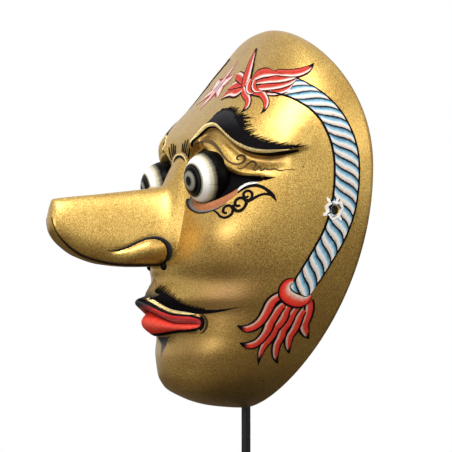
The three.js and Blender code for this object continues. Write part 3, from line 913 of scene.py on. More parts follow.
def flowing(points, step=0.5):
    """Evenly spaced points along a smooth line through the given ones."""
    p = np.array(points, float)
    if len(p) == 2:
        p = np.array([p[0], (p[0] + p[1]) / 2, p[1]])
    gaps = np.sqrt(np.linalg.norm(np.diff(p, axis=0), axis=1))
    knots = np.concatenate([[0], np.cumsum(gaps)])
    slopes = np.diff(p, axis=0) / gaps[:, None]
    share = (gaps[:-1] / (gaps[:-1] + gaps[1:]))[:, None]
    inner_slopes = slopes[:-1] * (1 - share) + slopes[1:] * share
    first, last = 2 * slopes[:1] - inner_slopes[:1], 2 * slopes[-1:] - inner_slopes[-1:]
    tangents = np.concatenate([first, inner_slopes, last])
    fine = np.linspace(0, knots[-1], 60 * len(p))
    i = np.clip(np.searchsorted(knots, fine, side="right") - 1, 0, len(gaps) - 1)
    t, g = ((fine - knots[i]) / gaps[i])[:, None], gaps[i][:, None]
    line = p[i] * (1 + 2 * t) * (1 - t) ** 2 + p[i + 1] * t * t * (3 - 2 * t)
    line += g * t * (1 - t) * ((1 - t) * tangents[i] - t * tangents[i + 1])
    run = np.concatenate([[0], np.cumsum(np.linalg.norm(np.diff(line, axis=0), axis=1))])
    even = np.linspace(0, run[-1], max(4, int(run[-1] / step) + 1))
    return np.stack([np.interp(even, run, line[:, 0]), np.interp(even, run, line[:, 1])], -1)


def along_rule(rule, start, end, lift_by=0.0, count=14):
    """Points that follow one of the carving's own curves."""
    u = np.linspace(start, end, count)
    return list(zip(u, rule(u) + lift_by))


def blend(first, second, share):
    """A share of the way from one colour to another."""
    first = np.array(first)
    return first + (np.array(second) - first) * float(share)


def shade_between(low, high, first, second):
    """A colour rule that goes from one colour to another up the face."""
    return lambda u, z: tuple(blend(first, second, smooth(low, high, z)))


def reach(lean, length):
    """A step of some length, leaning by some degrees from level."""
    return np.array([math.cos(math.radians(lean)), math.sin(math.radians(lean))]) * length


def line_object(name, line, side):
    """A smooth line drawn flat, or its mirror, as an object."""
    places = flowing(line)
    mesh = bpy.data.meshes.new(name)
    links = [(i, i + 1) for i in range(len(places) - 1)]
    mesh.from_pydata([(side * u, z, 0) for u, z in places], links, [])
    return linked(name, mesh)


class Brushwork:
    """Flat paint shapes that share one piece. Every shape is a closed slab with its own pigment."""

    def __init__(self, both_sides=True):
        self.points, self.faces, self.pigments = [], [], []
        self.mirrors = (1, -1) if both_sides else (1,)

    def add(self, points, faces, pigments):
        for mirror in self.mirrors:
            first = len(self.points)
            self.points += [(x * mirror, y, z) for x, y, z in points]
            self.faces += [[first + i for i in face] for face in faces]
            self.pigments += pigments

    def patch(self, lines, colour, coat=1):
        """A filled shape whose outline is made of smooth lines that meet in corners."""
        edge = np.concatenate([flowing(line, 0.6)[:-1] for line in lines])
        ahead = np.roll(edge, -1, axis=0)
        x = np.arange(edge[:, 0].min(), edge[:, 0].max(), 0.8)
        y = np.arange(edge[:, 1].min(), edge[:, 1].max(), 0.8)
        inner = np.stack(np.meshgrid(x, y), -1).reshape(-1, 1, 2)
        span = ahead - edge
        t = np.clip(((inner - edge) * span).sum(-1) / np.maximum((span**2).sum(-1), 1e-9), 0, 1)
        clear = np.linalg.norm(edge + t[..., None] * span - inner, axis=-1).min(1) > 0.4
        crosses = (edge[:, 1] > inner[..., 1]) != (ahead[:, 1] > inner[..., 1])
        rise = np.where(span[:, 1] == 0, 1e-9, span[:, 1])
        where = edge[:, 0] + (inner[..., 1] - edge[:, 1]) / rise * span[:, 0]
        within = (crosses & (inner[..., 0] < where)).sum(1) % 2 == 1
        flat = np.concatenate([edge, inner[clear & within, 0]])
        made = delaunay_2d_cdt(flat.tolist(), [], [list(range(len(edge)))], 1, 1e-5)
        places, triangles = made[0], made[2]
        used = {pair: True for t in triangles for pair in zip(t, t[1:] + t[:1])}
        count = len(places)
        height = film(coat)
        points = [(p[0], p[1], level) for level in (height, SKIRT) for p in places]
        faces = [list(t) for t in triangles] + [[i + count for i in t[::-1]] for t in triangles]
        faces += [[b, a, a + count, b + count] for a, b in used if (b, a) not in used]
        tint = colour if callable(colour) else (lambda u, z: colour)
        pigments = [tint(p[0], p[1]) for p in points]
        self.add(points, faces, pigments)

    def ribbon(self, line, widths, bands, coat=2, from_edge=False, tip=None):
        """A brush stroke: a line, its widths from start to end, and its colours across."""
        spine = flowing(line)
        count = len(spine)
        t = np.linspace(0, 1, count)
        width_rule = curve_through(list(zip(np.linspace(0, 1, len(widths)), widths)))
        half_width = np.maximum(width_rule(t) / 2, 0.02)
        heading = np.gradient(spine, axis=0)
        heading /= np.linalg.norm(heading, axis=1)[:, None]
        side = np.stack([-heading[:, 1], heading[:, 0]], -1)
        if from_edge:
            spine = spine + side * half_width[:, None]
        if len(bands) == 3 and not isinstance(bands[0], (tuple, list)):
            bands = [(-1, bands), (0, bands), (1, bands)]
        columns = len(bands)
        points, pigments = [], []
        for k in range(count):
            rows = [(q, film(coat) + 0.02 * (1 - q * q), c) for q, c in bands]
            rows += [(bands[-1][0], SKIRT, bands[-1][1]), (bands[0][0], SKIRT, bands[0][1])]
            for q, height, colour in rows:
                place = spine[k] + side[k] * half_width[k] * q
                points.append((place[0], place[1], height))
                if tip is not None:
                    colour = blend(colour, tip, smooth(0.80, 0.9, t[k]))
                pigments.append(tuple(colour))
        size = columns + 2
        faces = []
        for k in range(count - 1):
            for j in range(size):
                a, b = k * size + j, k * size + (j + 1) % size
                faces.append([a, b, b + size, a + size])
        faces.append(list(range(size))[::-1])
        faces.append([(count - 1) * size + j for j in range(size)])
        self.add(points, faces, pigments)

    def flat(self, name):
        """The shapes as they are drawn, as one object with a pigment at each point."""
        mesh = bpy.data.meshes.new(name)
        mesh.from_pydata(self.points, [], self.faces)
        solid = np.column_stack([self.pigments, np.ones(len(self.pigments))])
        store(mesh, "pigment", solid, "FLOAT_COLOR", "color")
        return linked(name, mesh)

    def piece(self, name, sheet=None):
        """The shapes pressed on to a sheet, as a piece of the mask."""
        pressed = grow(self.flat(name), PRESS, Sheet=sheet or skin_sheet, Paint=brush_paint.material)
        return on_mask(pressed)


def on_mask(obj):
    obj.data.polygons.foreach_set("use_smooth", [False] * len(obj.data.polygons))
    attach(obj, "mask")
    print(f"{obj.name}: {len(obj.data.polygons)} faces")
    return obj


brush_paint = Finish("brush_paint", roughness=0.5, Specular_IOR_Level=0.04)
pigment = brush_paint.node("ShaderNodeAttribute", attribute_name="pigment").outputs["Color"]
drag = brush_paint.ramp(brush_paint.noise(650, 3), [(0.3, (0.80, 0.79, 0.78)), (0.65, (1.06, 1.05, 1.04))])
brush_paint.colour(brush_paint.mix(1.0, pigment, drag, blend="MULTIPLY"))
brush_paint.rough(brush_paint.grey(brush_paint.noise(420), 0.36, 0.6))
brush_paint.bump(brush_paint.noise(900), 0.2, 0.0001)


def fringe(name, line, count, lean, length, wildness, seed):
    """A row of hairs along a line on one side, and its mirror on the other."""
    for side, label in SIDES:
        start, end = (float(angle if side > 0 else 180 - angle) for angle in lean)
        hairs = grow(
            line_object(f"{label}_{name}", line, side), FRINGE, Hair=hair_shape, Sheet=skin_sheet,
            Paint=brush_paint.material, Count=count, Lean_start=start, Lean_end=end,
            Length_start=length[0], Length_end=length[1], Wildness=wildness, Seed=seed,
        )
        on_mask(hairs)


# One hair of paint, a millimetre long, thick at the root and drawn out to nothing.
hair = Brushwork(both_sides=False)
hair.ribbon([(-0.12, 0), (0.45, 0.02), (1, 0.1)], (0.24, 0.34, 0.2, 0.03), INK, coat=2)
hair_shape = hair.flat("hair")

# %% [markdown]
# ## Brows, eyes and the scrolls beside them
# The brow is a dark wash, a little lighter towards its top as a painted sheen, with a clean lower
# edge along the carved step, and a ragged upper edge of single hairs. A pale gold painted highlight
# along the ridge and a black line underline it. The eye sits in a black almond with a clay-red lower
# lid, and three small curls and a horn trail from its corner.
# Five fine hairs and an arch make the frown between the brows.

# %% Brow paint
# The brow's dark is painted lighter towards its top, as a painted sheen.
brow = Brushwork()
brow.patch([
    [(17.5, 139.8), (21.5, 144.8), (27.5, 150.3), (32.5, 154.4), (36.5, 156), (42, 155), (46, 151.5),
     (48.5, 147.6)],
    [(48.5, 147.6), (51.5, 143.2), (55.5, 139.6), (61, 136.8), (66.5, 135.2), (73.5, 134.9), (81, 136)],
    [(81, 136), (73.5, 133.7), (66, 133.2), (60, 133.4), (55, 134.6), (50, 136.8)],
    along_rule(brow_edge, 50, 17.5, 0.7),
], shade_between(143, 157, INK, (0.030, 0.030, 0.034)), coat=1)
# A pale gold painted highlight runs along the edge of the brow ridge.
brow_ridge_highlight = along_rule(brow_edge, 17.5, 72, 0.25)
brow.ribbon(brow_ridge_highlight, (0.5, 1.5, 1.4, 1.5, 1.2, 0.2), PALE_GOLD_HIGHLIGHT, coat=6)
brow.ribbon(along_rule(brow_edge, 17, 76, -0.95), (0.5, 0.9, 0.8, 1.5, 1.6, 0.9), INK, coat=4)
brow.piece("brow_paint")

fringe(
    "brow_hairs_top", [(30, 152.5), (36.5, 155.6), (43, 154.2), (47.5, 149.5), (49.5, 146)],
    46, (70, 12), (1.2, 4.6), 6, 3,
)
fringe(
    "brow_hairs_side", [(46, 151.3), (49.5, 146), (53.5, 140.9), (59, 137.4), (66, 135), (75, 134.9)],
    90, (8, 20), (4.6, 3.4), 9, 8,
)
fringe(
    "brow_hairs_flick", [(45.5, 151), (48, 149.8), (50, 149.5)], 12, (4, 10), (6.5, 5.5), 7, 5,
)

# %% Eye paint
eye = Brushwork()
eye.patch([
    [(12.6, 128), (14.4, 132), (18, 135), (23, 136.2), (27.8, 134.2), (32.2, 130.4), (37.2, 126.4),
     (43, 123.6), (48.5, 121.6), (56, 120.8), (65.5, 120)],
    [(65.5, 120), (60.5, 118.4), (56, 117.8), (51.5, 116.8), (48, 114.8), (42.5, 111.8), (37.5, 109.6),
     (33, 108.5), (27, 108.3), (20, 110.5), (14.5, 115), (12, 122), (12.6, 128)],
], INK, coat=1)
eye.patch([
    [(48.3, 113.4), (48.7, 115.2), (50.3, 116.8), (53.7, 117.7), (58.3, 117.3)],
    [(58.3, 117.3), (54.3, 116.3), (51.5, 115.2), (48.3, 113.4)],
], WHITE, coat=3)
LID_SHADE = [(-1, INK), (-0.3, SOOT), (0.2, GREY), (1, GREY)]
for line, widths, colour, coat in (
    # the lower lid, its grey shade, the scroll over the upper lid, the wavy line and the lid's edge
    ([(16.4, 118), (17.4, 114.6), (20, 110.8), (24.4, 107.6), (30, 106), (37.5, 107), (43.5, 109.9),
      (48.3, 113.8)], (0.6, 2.6, 3.4, 3.8, 4.0, 3.2, 1.8), TERRACOTTA, 3),
    ([(14.2, 122), (14.8, 117), (17.6, 111), (22.8, 106.2), (29.6, 103.8), (37.5, 104.5),
      (43.5, 107.4)], (0.8, 2.8, 3.2, 2.4, 1.6, 0.9, 0.3), LID_SHADE, 4),
    ([(19, 139.6), (24, 140.4), (29, 139.9), (33, 138), (36.5, 134.7), (39.8, 130.8), (43, 128.2),
      (46.6, 127), (49.2, 128.4), (49.3, 130.8), (47, 131.8), (45.6, 130.4), (47, 129.2)],
     (0.4, 1.6, 1.7, 1.1, 0.8, 1.3, 0.6), UMBER, 2),
    ([(47.4, 125.2), (50, 124.7), (51.6, 127.3), (53.4, 128.4), (55.3, 126.8), (55, 124.4),
      (56.2, 123.4), (57, 125.3), (57.9, 124.9), (58.8, 123.1), (60.1, 124.6), (61.9, 123.7),
      (64.7, 124.2), (67.5, 123.1), (70.1, 123.6), (74, 123.6)],
     (0.5, 1.1, 0.9, 0.8, 0.6, 0.2), UMBER, 2),
    ([(13.2, 128.5), (14.8, 132.2), (18.2, 135), (23, 136), (27.6, 134), (32, 130.2), (37, 126.3),
      (43, 123.6)], (0.8, 1.8, 2.0, 1.8, 1.3, 0.5), INK, 2),
    # the stalks, hooks and horn of the curls
    ([(36.5, 104.4), (39.5, 103.2), (42, 100.8)], (0.5, 0.9, 1.1), INK, 3),
    ([(47.2, 106.6), (48.2, 104.4), (50.2, 103.4), (52.4, 104.4)], (0.8, 1.5, 1.6, 1.0), INK, 4),
    ([(53.6, 106.4), (53.2, 108.2), (54.6, 109)], (1.0, 1.7, 1.2), INK, 4),
    ([(48.5, 112.6), (51, 114.6), (54, 115.8), (57, 116), (60.3, 114.8), (63.8, 111.9),
      (66.6, 107.8)], (0.7, 1.4, 1.6, 1.5, 1.8, 0.2), INK, 3),
    ([(53.6, 107.6), (55.3, 108.9), (58.1, 110.8), (61, 111.7), (64.6, 111)], (0.9, 1.3, 1.2, 1.5), INK, 3),
    # the arch between the brows, and a pale gold painted highlight beside it
    ([(0, 134.8), (3.2, 134.4), (6, 132.9), (7.8, 129.8)], (0.8, 1.0, 0.9, 0.3), INK, 7),
    ([(0, 135.9), (3.6, 135.5), (6.9, 133.8), (8.9, 130.6)], (0.7, 0.8, 0.7, 0.3), PALE_GOLD_HIGHLIGHT, 6),
):
    eye.ribbon(line, widths, colour, coat=coat)
# the curls: an arc that winds inward, from its start in degrees, its centre, radius, turns and width
for start, centre, radius, turns, width in (
    (222, (44.6, 103.9), 3.9, 1.18, 1.35), (-100, (49.9, 107.4), 3.9, 1.12, 1.45),
    (-75, (52.9, 111.4), 2.9, 1.12, 1.3),
):
    angles = math.radians(start) + np.linspace(0, turns * 2 * math.pi, 9)
    arc = np.stack([np.cos(angles), np.sin(angles)], -1) * np.linspace(1, 0.3, 9)[:, None]
    eye.ribbon(centre + radius * arc, (width * 0.8, width, width, width * 0.8), INK, coat=3)
for place, lean, length in (
    ((4.4, 136.8), 82, 4.5), ((6.2, 136.2), 74, 6.5), ((8, 135.4), 66, 8.0), ((9.8, 134.2), 59, 8.0),
    ((11.5, 132.6), 52, 6.5),
):
    stroke = np.outer((0, 0.5, 1), reach(lean, length))
    eye.ribbon(place + stroke, (0.6, 0.5, 0.12), INK, coat=7)
eye.piece("eye_surround_paint")

# %% [markdown]
# ## Mouth
# The moustache is another dark wash with hairs along its upper edge. The lips are two reds with a
# dark line between them, painted shade deepening the upper one towards the parting, painted
# highlights along both, a pale gold painted highlight above the upper one, and black round the whole.

# %% Mouth paint
lips = Brushwork(both_sides=False)
LIP_END = 34.3


def lip_end(u):
    """Rounds the lips off at the corners of the mouth."""
    return np.sqrt(np.clip(1 - np.abs(u / LIP_END) ** 10, 0, 1))


def lip_top(u):
    return 48.4 + (3.4 + 8 * bell(u / 9.5)) * lip_end(u)


def lip_bottom(u):
    return 48.4 - (3.6 + 2.4 * bell(u / 14)) * lip_end(u)


def lip_edge(rule, offset=0.0, sign=1):
    u = sign * LIP_END * np.sin(np.linspace(-math.pi / 2, math.pi / 2, 41))
    return list(zip(u, rule(u) + offset * lip_end(u * 0.98)))


def lip_colour(u, z):
    """Deep red over the mouth line, deepened towards it as painted shade, with a pink painted highlight on
    its roll, and clear red below with a coral painted highlight along its middle.
    """
    line = mouth_line(u)
    upper = (z - line) / max(lip_top(u) - line, 0.1)
    lower = (line - z) / max(line - lip_bottom(u), 0.1)
    # Painted shade deepens the upper lip towards the mouth line; the pink and coral bands are painted
    # highlights.
    colour = blend(LIP_RED, DEEP_RED, smooth(0.7, -0.2, upper))
    colour = blend(colour, LIP_HIGHLIGHT_PINK, 0.5 * bell((upper - 0.35) / 0.12) * bell(u / 26))
    red = blend(RED, LIP_HIGHLIGHT_CORAL, bell((lower - 0.55) / 0.3))
    colour = blend(colour, red, smooth(0.0, 0.18, lower))
    return tuple(blend(colour, SOOT, smooth(54.8, 57.6, z)))


lips.patch([lip_edge(lip_top), lip_edge(lip_bottom, sign=-1)], lip_colour, coat=3)
lips.ribbon(lip_edge(lip_top, 0.3), (0.9, 1.0, 1.0, 1.0, 0.9), INK, coat=5)
lips.ribbon(lip_edge(lip_bottom, -0.3), (1.0, 1.3, 1.2, 1.3, 1.0), INK, coat=5)
parting = along_rule(mouth_line, -31, 31, 0, 31)
lips.ribbon(parting, (0.3, 0.9, 1.0, 0.9, 0.3), (0.05, 0.003, 0.004), coat=4)
lips.patch([
    [(-13, 41.8), (0, 40.6), (13, 41.8)], [(13, 41.8), (5.5, 38.6), (0.6, 30)],
    [(0.6, 30), (-5.5, 38.6), (-13, 41.8)],
], shade_between(31, 41, GREY, SOOT))
lips.patch([
    [(-8.6, 62.6), (-4.6, 64.6), (-3.4, 68), (0, 71)], [(0, 71), (3.4, 68), (4.6, 64.6), (8.6, 62.6)],
    [(8.6, 62.6), (4.4, 61), (0, 60), (-4.4, 61), (-8.6, 62.6)],
], shade_between(60, 68, SOOT, (0.36, 0.24, 0.085)), coat=2)
lips.piece("lip_paint")

whiskers = Brushwork()
whiskers.patch([
    [(4.2, 64.4), (7.4, 65), (11.5, 63.4), (17, 60.8), (22, 58), (27.5, 56.3), (34, 55.3), (41, 55.1),
     (50, 55.8), (57.5, 57)],
    [(57.5, 57), (50, 55.1), (43.5, 53.8), (36.5, 53.1), (31.5, 52.9), (25, 53.1), (17.5, 54),
     (12, 55.8), (6, 58.6), (0.8, 62)],
    [(0.8, 62), (4.2, 64.4)],
], INK, coat=1)
for line, widths, colour, coat in (
    # a pale gold painted highlight between the moustache and the upper lip
    ([(1.5, 61.9), (5.3, 59.3), (9.7, 56.6), (15, 54.4), (22.8, 53.3), (29.5, 52.9)],
     (0.4, 1.3, 1.5, 1.4, 0.3), PALE_GOLD_HIGHLIGHT, 2),
    ([(33.6, 53), (36.8, 50.4), (37.6, 47), (36, 44.3), (33.4, 43.2)],
     (0.4, 1.2, 1.8, 1.4, 0.3), (0.05, 0.032, 0.014), 2),
    ([(33.2, 51.8), (34.9, 49.8), (35.1, 47.2), (33.2, 44.8)], (1.2, 1.9, 1.9, 1.2), INK, 3),
):
    whiskers.ribbon(line, widths, colour, coat=coat)
whiskers.piece("moustache_paint")
fringe(
    "moustache_hairs",
    [(5, 64.6), (8, 64.8), (11.5, 63.2), (17, 60.6), (22, 57.8), (27.5, 56.1), (35, 55)],
    54, (62, 24), (2.6, 1.7), 8, 21,
)

# %% [markdown]
# ## The painted rope
# A rope hangs from the crest over the temple and down the edge of the cheek. It is one strand,
# repeated: a leaning S-shaped band that runs from the inner edge to the outer one, cream below,
# white, then blue under a black line. The node tree lays the copies end to end down a centre line.

# %% Rope
ROPE_LINE = [
    (61.5, 170.6), (69.5, 168.9), (76.4, 166.8), (82.6, 163.4), (88.8, 158.4), (93.6, 151.6),
    (96.6, 143), (98.4, 134), (99, 124), (98.9, 114), (98.2, 104), (95.9, 92.5), (91.4, 80),
    (83.6, 60.8),
]
ROPE_HALF_WIDTH, STRAND_PITCH, STRAND_DROP, TOP_LEAN = 6.3, 5.6, 9.5, 7.0
STRAND_COLUMNS, STRAND_ROWS = 25, 11

rope_paint = Finish("rope_paint", roughness=0.5, Specular_IOR_Level=0.1)
hatch = rope_paint.noise(420, 3)
tone = rope_paint.node("ShaderNodeMath", {
    0: rope_paint.attribute("tone"), 1: rope_paint.grey(hatch, -0.16, 0.16),
}, operation="ADD").outputs[0]
body = rope_paint.ramp(tone, [
    (0.0, (0.03, 0.04, 0.05)), (0.18, (0.05, 0.11, 0.16)), (0.32, (0.15, 0.34, 0.48)),
    (0.49, (0.34, 0.53, 0.62)), (0.62, (0.74, 0.74, 0.73)), (0.80, (0.72, 0.63, 0.55)),
    (0.94, (0.60, 0.44, 0.34)), (1.0, (0.28, 0.20, 0.16)),
])
line = rope_paint.grey(rope_paint.attribute("tone"), 1, 0, 0.12, 0.19)
rope_paint.colour(rope_paint.mix(line, body, INK))
rope_paint.bump(rope_paint.noise(900), 0.2, 0.0001)


def strand_mesh():
    """One strand, flat: across the rope from -1 to 1, and down it in millimetres."""
    columns, rows = STRAND_COLUMNS, STRAND_ROWS
    w, t = np.meshgrid(np.linspace(-1, 1, columns), np.linspace(0, 1, rows))
    lean = STRAND_DROP / 2 * (0.6 * w + 0.4 * w**3)
    height = film(1) + 0.2 * np.sin(math.pi * np.clip(t, 0.02, 1)) ** 0.6
    top = np.stack([w, lean + t * STRAND_PITCH, height], -1).reshape(-1, 3)
    under = top * (1, 1, 0) + (0, 0, SKIRT)
    count = len(top)
    faces = grid_faces(columns, rows).tolist()
    faces += [[i + count for i in face[::-1]] for face in faces]
    number = np.arange(count).reshape(rows, columns)
    ring = [*number[0], *number[1:, -1], *number[-1, -2::-1], *number[-2:0:-1, 0]]
    faces += [[a, b, b + count, a + count] for a, b in zip(ring, ring[1:] + ring[:1])]
    mesh = mesh_from("rope_strands", np.concatenate([top, under]), faces)
    store(mesh, "tone", np.tile(t.ravel(), 2))
    return mesh


rope_length = 0.5 * (len(flowing(ROPE_LINE)) - 1)
strand_start = STRAND_DROP / 2 + TOP_LEAN - 2 * STRAND_PITCH
strand_count = int((rope_length + STRAND_DROP / 2 - strand_start) / STRAND_PITCH)
for side, label in SIDES:
    centre = line_object("rope_centre", ROPE_LINE, side)
    rope = grow(
        linked(f"{label}_rope_paint", strand_mesh()), ROPE, Centre=centre, Sheet=skin_sheet,
        Paint=rope_paint.material, Count=strand_count, Pitch=STRAND_PITCH, Start=strand_start,
        Half_width=side * ROPE_HALF_WIDTH, Top_lean=TOP_LEAN,
    )
    weld(rope.data, 2e-6)
    on_mask(bored(rope, overlapping=True))
    bpy.data.objects.remove(centre)

rope_edge = Brushwork()
centre_line = flowing(ROPE_LINE, 3)
heading = np.gradient(centre_line, axis=0)
heading /= np.linalg.norm(heading, axis=1)[:, None]
outward = np.stack([-heading[:, 1], heading[:, 0]], -1)
for side, first, last in ((1, 5, -3), (-1, 0, -2)):
    line = (centre_line + outward * side * ROPE_HALF_WIDTH)[first:last]
    rope_edge.ribbon(line, (0.8, 1.0, 0.9, 1.0, 0.8), INK, coat=7)
bored(rope_edge.piece("rope_edge_paint"))

# %% [markdown]
# ## Tassel, crest and forehead flame
# The rope ends in a round red collar with six wavy tongues under it. Each tongue is one stroke
# whose colours lie side by side: black edge, cream light, red body, black edge. The crest
# at the other end is a spray of plain flame leaves, drawn in the same way. Old paint has chipped
# white round the strap holes.

# %% Tassel
tassel = Brushwork()
TONGUE = [
    (-1, INK), (-0.68, INK), (-0.62, (0.56, 0.36, 0.29)), (-0.36, (0.60, 0.34, 0.26)),
    (-0.18, (0.66, 0.06, 0.035)), (0.60, (0.52, 0.03, 0.02)), (0.68, INK), (1, INK),
]
COLLAR = [
    (-1, INK), (-0.78, INK), (-0.7, (0.55, 0.02, 0.015)), (0.0, (0.78, 0.07, 0.04)),
    (0.25, (0.72, 0.24, 0.18)), (0.55, (0.72, 0.46, 0.37)), (0.78, CREAM), (0.84, INK), (1, INK),
]
TONGUE_WIDTHS = (5.0, 6.4, 7.0, 6.9, 6.0, 3.9, 0.15)
for order, edge in enumerate((
    [(89.6, 58.6), (91, 54), (91.4, 50), (91.8, 46.6), (95, 43.2), (103.4, 40.6)],
    [(88.9, 56.6), (87, 52.9), (86.4, 49.4), (86.4, 46), (85.6, 42.2), (88, 37.4), (95.2, 33.1)],
    [(84.2, 57.2), (82, 53), (81, 49.2), (79.2, 45.6), (79.9, 42.5), (79.7, 37.6), (83, 32),
     (90.5, 28.2)],
    [(79.8, 58.6), (77.8, 54.8), (77.2, 51.2), (74.6, 47.8), (74.1, 43.8), (72.2, 39.4), (72.2, 34.4),
     (76, 27.5)],
    [(77.6, 60.2), (74, 57.2), (71.9, 53.4), (70.6, 49.4), (70.2, 45), (68.2, 41.2), (64.4, 39.4),
     (59.4, 39.1)],
    [(75.2, 64.6), (70.4, 62.4), (68.2, 59.5), (67, 55), (65.4, 50.8), (62, 48.2), (55.9, 47.6)],
)):
    tassel.ribbon(edge, TONGUE_WIDTHS, TONGUE, coat=3 + order, from_edge=True, tip=INK)
tassel.ribbon(
    [(79.9, 69.6), (77.4, 68.4), (76.5, 65.8), (77.9, 62.8), (81.1, 60.8), (85.2, 59.5), (88.5, 59.3),
     (90.8, 60.5), (91.4, 62.2)],
    (2.2, 5.6, 7.0, 7.2, 7.0, 5.6, 2.2), COLLAR, coat=10,
)
tassel.piece("tassel_paint")

# %% Chips round the strap holes
HOLE_CHART_U, HOLE_CHART_Z = 93.8, 104.2  # where the left hole comes out, on the face's chart
CHIPPED = [(-1, WHITE), (0.3, WHITE), (0.7, SOOT), (1, INK)]
turn = np.linspace(0, 2 * math.pi, 25)
ragged = 3.5 + 0.35 * np.sin(3 * turn) + 0.25 * np.sin(7 * turn + 1)
chips = Brushwork()
ring = np.stack([
    HOLE_CHART_U + ragged * np.cos(turn), HOLE_CHART_Z + 1.05 * ragged * np.sin(turn),
], -1)
chips.ribbon(ring, (1.3, 2.2, 1.4, 2.4, 1.2, 2.0, 1.3), CHIPPED, coat=8)
for start, lean, length in (
    ((91.6, 107.4), 130, 3.4), ((96.4, 101.4), -60, 3.0), ((90.6, 102.6), 215, 2.6),
    ((94.6, 108), 80, 2.4),
):
    crack = reach(lean, length)
    chips.ribbon(start + np.outer((0, 0.5, 1), crack), (1.2, 1.6, 0.4), WHITE, coat=9)
    dark = [np.array(start) + (0.7, 0.2), np.array(start) + (0.9, 0) + crack * 0.7]
    chips.ribbon(dark, (0.8, 0.5, 0.2), INK, coat=10)
bored(chips.piece("strap_hole_chips"), overlapping=True)

# %% Crest and forehead flame
LEAF_LIGHT = (0.74, 0.66, 0.62)
LEAF = [
    (-1, INK), (-0.80, INK), (-0.73, (0.56, 0.07, 0.05)), (0.0, (0.46, 0.035, 0.025)),
    (0.3, (0.60, 0.18, 0.13)), (0.46, LEAF_LIGHT), (0.62, LEAF_LIGHT), (0.75, (0.52, 0.14, 0.10)),
    (0.82, INK), (1, INK),
]
FLIPPED = [(-q, colour) for q, colour in LEAF[::-1]]
crest = Brushwork()
for line, widths, bands, coat in (
    ([(62, 163.4), (68, 163.2), (75, 164.8), (80, 168)], (2, 4.4, 3.8, 0.2), FLIPPED, 5),
    ([(56, 166.4), (62, 166.6), (70, 167), (77.5, 168.4), (84, 171)], (2, 5.2, 5.4, 4.4, 0.2), FLIPPED, 6),
    ([(56, 169.6), (64, 170.6), (73, 170.6), (81, 171.8), (89.5, 174.6)],
     (2, 5.4, 5.4, 4.6, 0.2), FLIPPED, 7),
    ([(66, 174), (74, 173.8), (83, 173.2), (91, 175), (98.4, 178.8)], (1, 4.6, 5.0, 3.4, 0.15), FLIPPED, 8),
    ([(52.6, 171.4), (58, 174.2), (65, 174.8), (72, 173.6), (77, 172.6)],
     (2, 6.6, 6.6, 3.4, 0.2), FLIPPED, 9),
    ([(50, 168), (55, 164.9), (60, 163.2), (62.6, 158.6), (61.7, 154.6), (59.6, 152)],
     (3, 5.6, 5.4, 4.6, 2.8, 0.15), LEAF, 6),
    ([(45, 168), (48, 164), (51.4, 160.6), (51.6, 157), (48.6, 153.6)], (3, 4.8, 4.6, 3.2, 0.15), LEAF, 7),
    ([(45, 167.2), (40, 165.6), (35, 166.6), (30, 165.8), (26.4, 162.8)], (2.6, 6.2, 6.6, 5.4, 0.4), LEAF, 7),
    ([(43.5, 169.4), (38, 170.8), (32, 170.4), (27, 168.6)], (2, 6.2, 5.6, 0.3), FLIPPED, 8),
    ([(44.6, 170), (39.6, 174), (33.5, 176), (27, 177.6)], (2.4, 6.8, 6.2, 0.2), FLIPPED, 9),
    ([(46.4, 168.6), (46, 175), (46.6, 181), (48.4, 186.6), (53.6, 192.4)],
     (5.5, 10.5, 10, 6, 0.15), FLIPPED, 10),
    ([(51.4, 171.8), (50, 168.4), (51.6, 164.8), (55, 163.6)], (3.4, 5.0, 3.8, 0.5), FLIPPED, 11),
    ([(55.6, 171.4), (54.4, 168.4), (56, 165.4), (60.4, 164.4)], (3.0, 4.2, 3.2, 0.4), FLIPPED, 10),
):
    crest.ribbon(line, widths, bands, coat=coat, tip=INK if widths[-1] < 0.18 else None)
# The right crest is drawn narrower, so that its leaves end further from the middle line.
CREST_EDGE, CREST_SHARE = -76, 0.58
crest.points = [
    (CREST_EDGE + (x - CREST_EDGE) * CREST_SHARE if CREST_EDGE < x < 0 else x, y, z)
    for x, y, z in crest.points
]
crest.piece("crest_paint")

MAROON = (0.26, 0.03, 0.045)
FLAME_PINK = (0.74, 0.42, 0.40)
FLAME = [
    (-1, MAROON), (-0.72, MAROON), (-0.6, FLAME_PINK), (0.0, (0.80, 0.66, 0.63)), (0.6, FLAME_PINK),
    (0.72, MAROON), (1, MAROON),
]
flame = Brushwork(both_sides=False)
for line, widths in (
    ([(0, 172), (0.8, 167), (1.5, 160)], (15, 9, 0.2)),
    ([(0, 173), (-0.6, 180), (-0.4, 188)], (15, 9, 0.2)),
    ([(4, 174), (12, 175), (21, 179)], (9, 7, 0.2)),
    ([(-4, 174), (-12, 175), (-21, 179)], (9, 7, 0.2)),
    ([(4, 172), (11, 170), (18, 164.5)], (8, 6.4, 0.2)),
    ([(-4, 172), (-11, 170), (-18, 164.5)], (8, 6.4, 0.2)),
):
    flame.ribbon(line, widths, FLAME, coat=2)
flame.ribbon([(0, 166.6), (0, 173), (0, 179.4)], (3, 12, 3), FLAME, coat=4)
flame.ribbon([(0, 170.4), (0, 173), (0, 175.6)], (2, 5, 2), (0.30, 0.38, 0.42), coat=6)
flame.piece("forehead_flame_paint")

# %% Lines on the nose
nose_lines = Brushwork(both_sides=False)
nose_lines.ribbon(
    [(40.4, 78.6), (40.8, 83.6), (42.8, 87.8), (46.4, 90.7), (51.5, 91.4), (57, 89.6), (63, 86.4),
     (68, 84.8), (72.5, 84.6)],
    (2.6, 2.6, 2.0, 1.5, 1.2, 1.2, 1.0, 0.25), [(-1, INK), (0, INK), (1, SOOT)], coat=1,
)
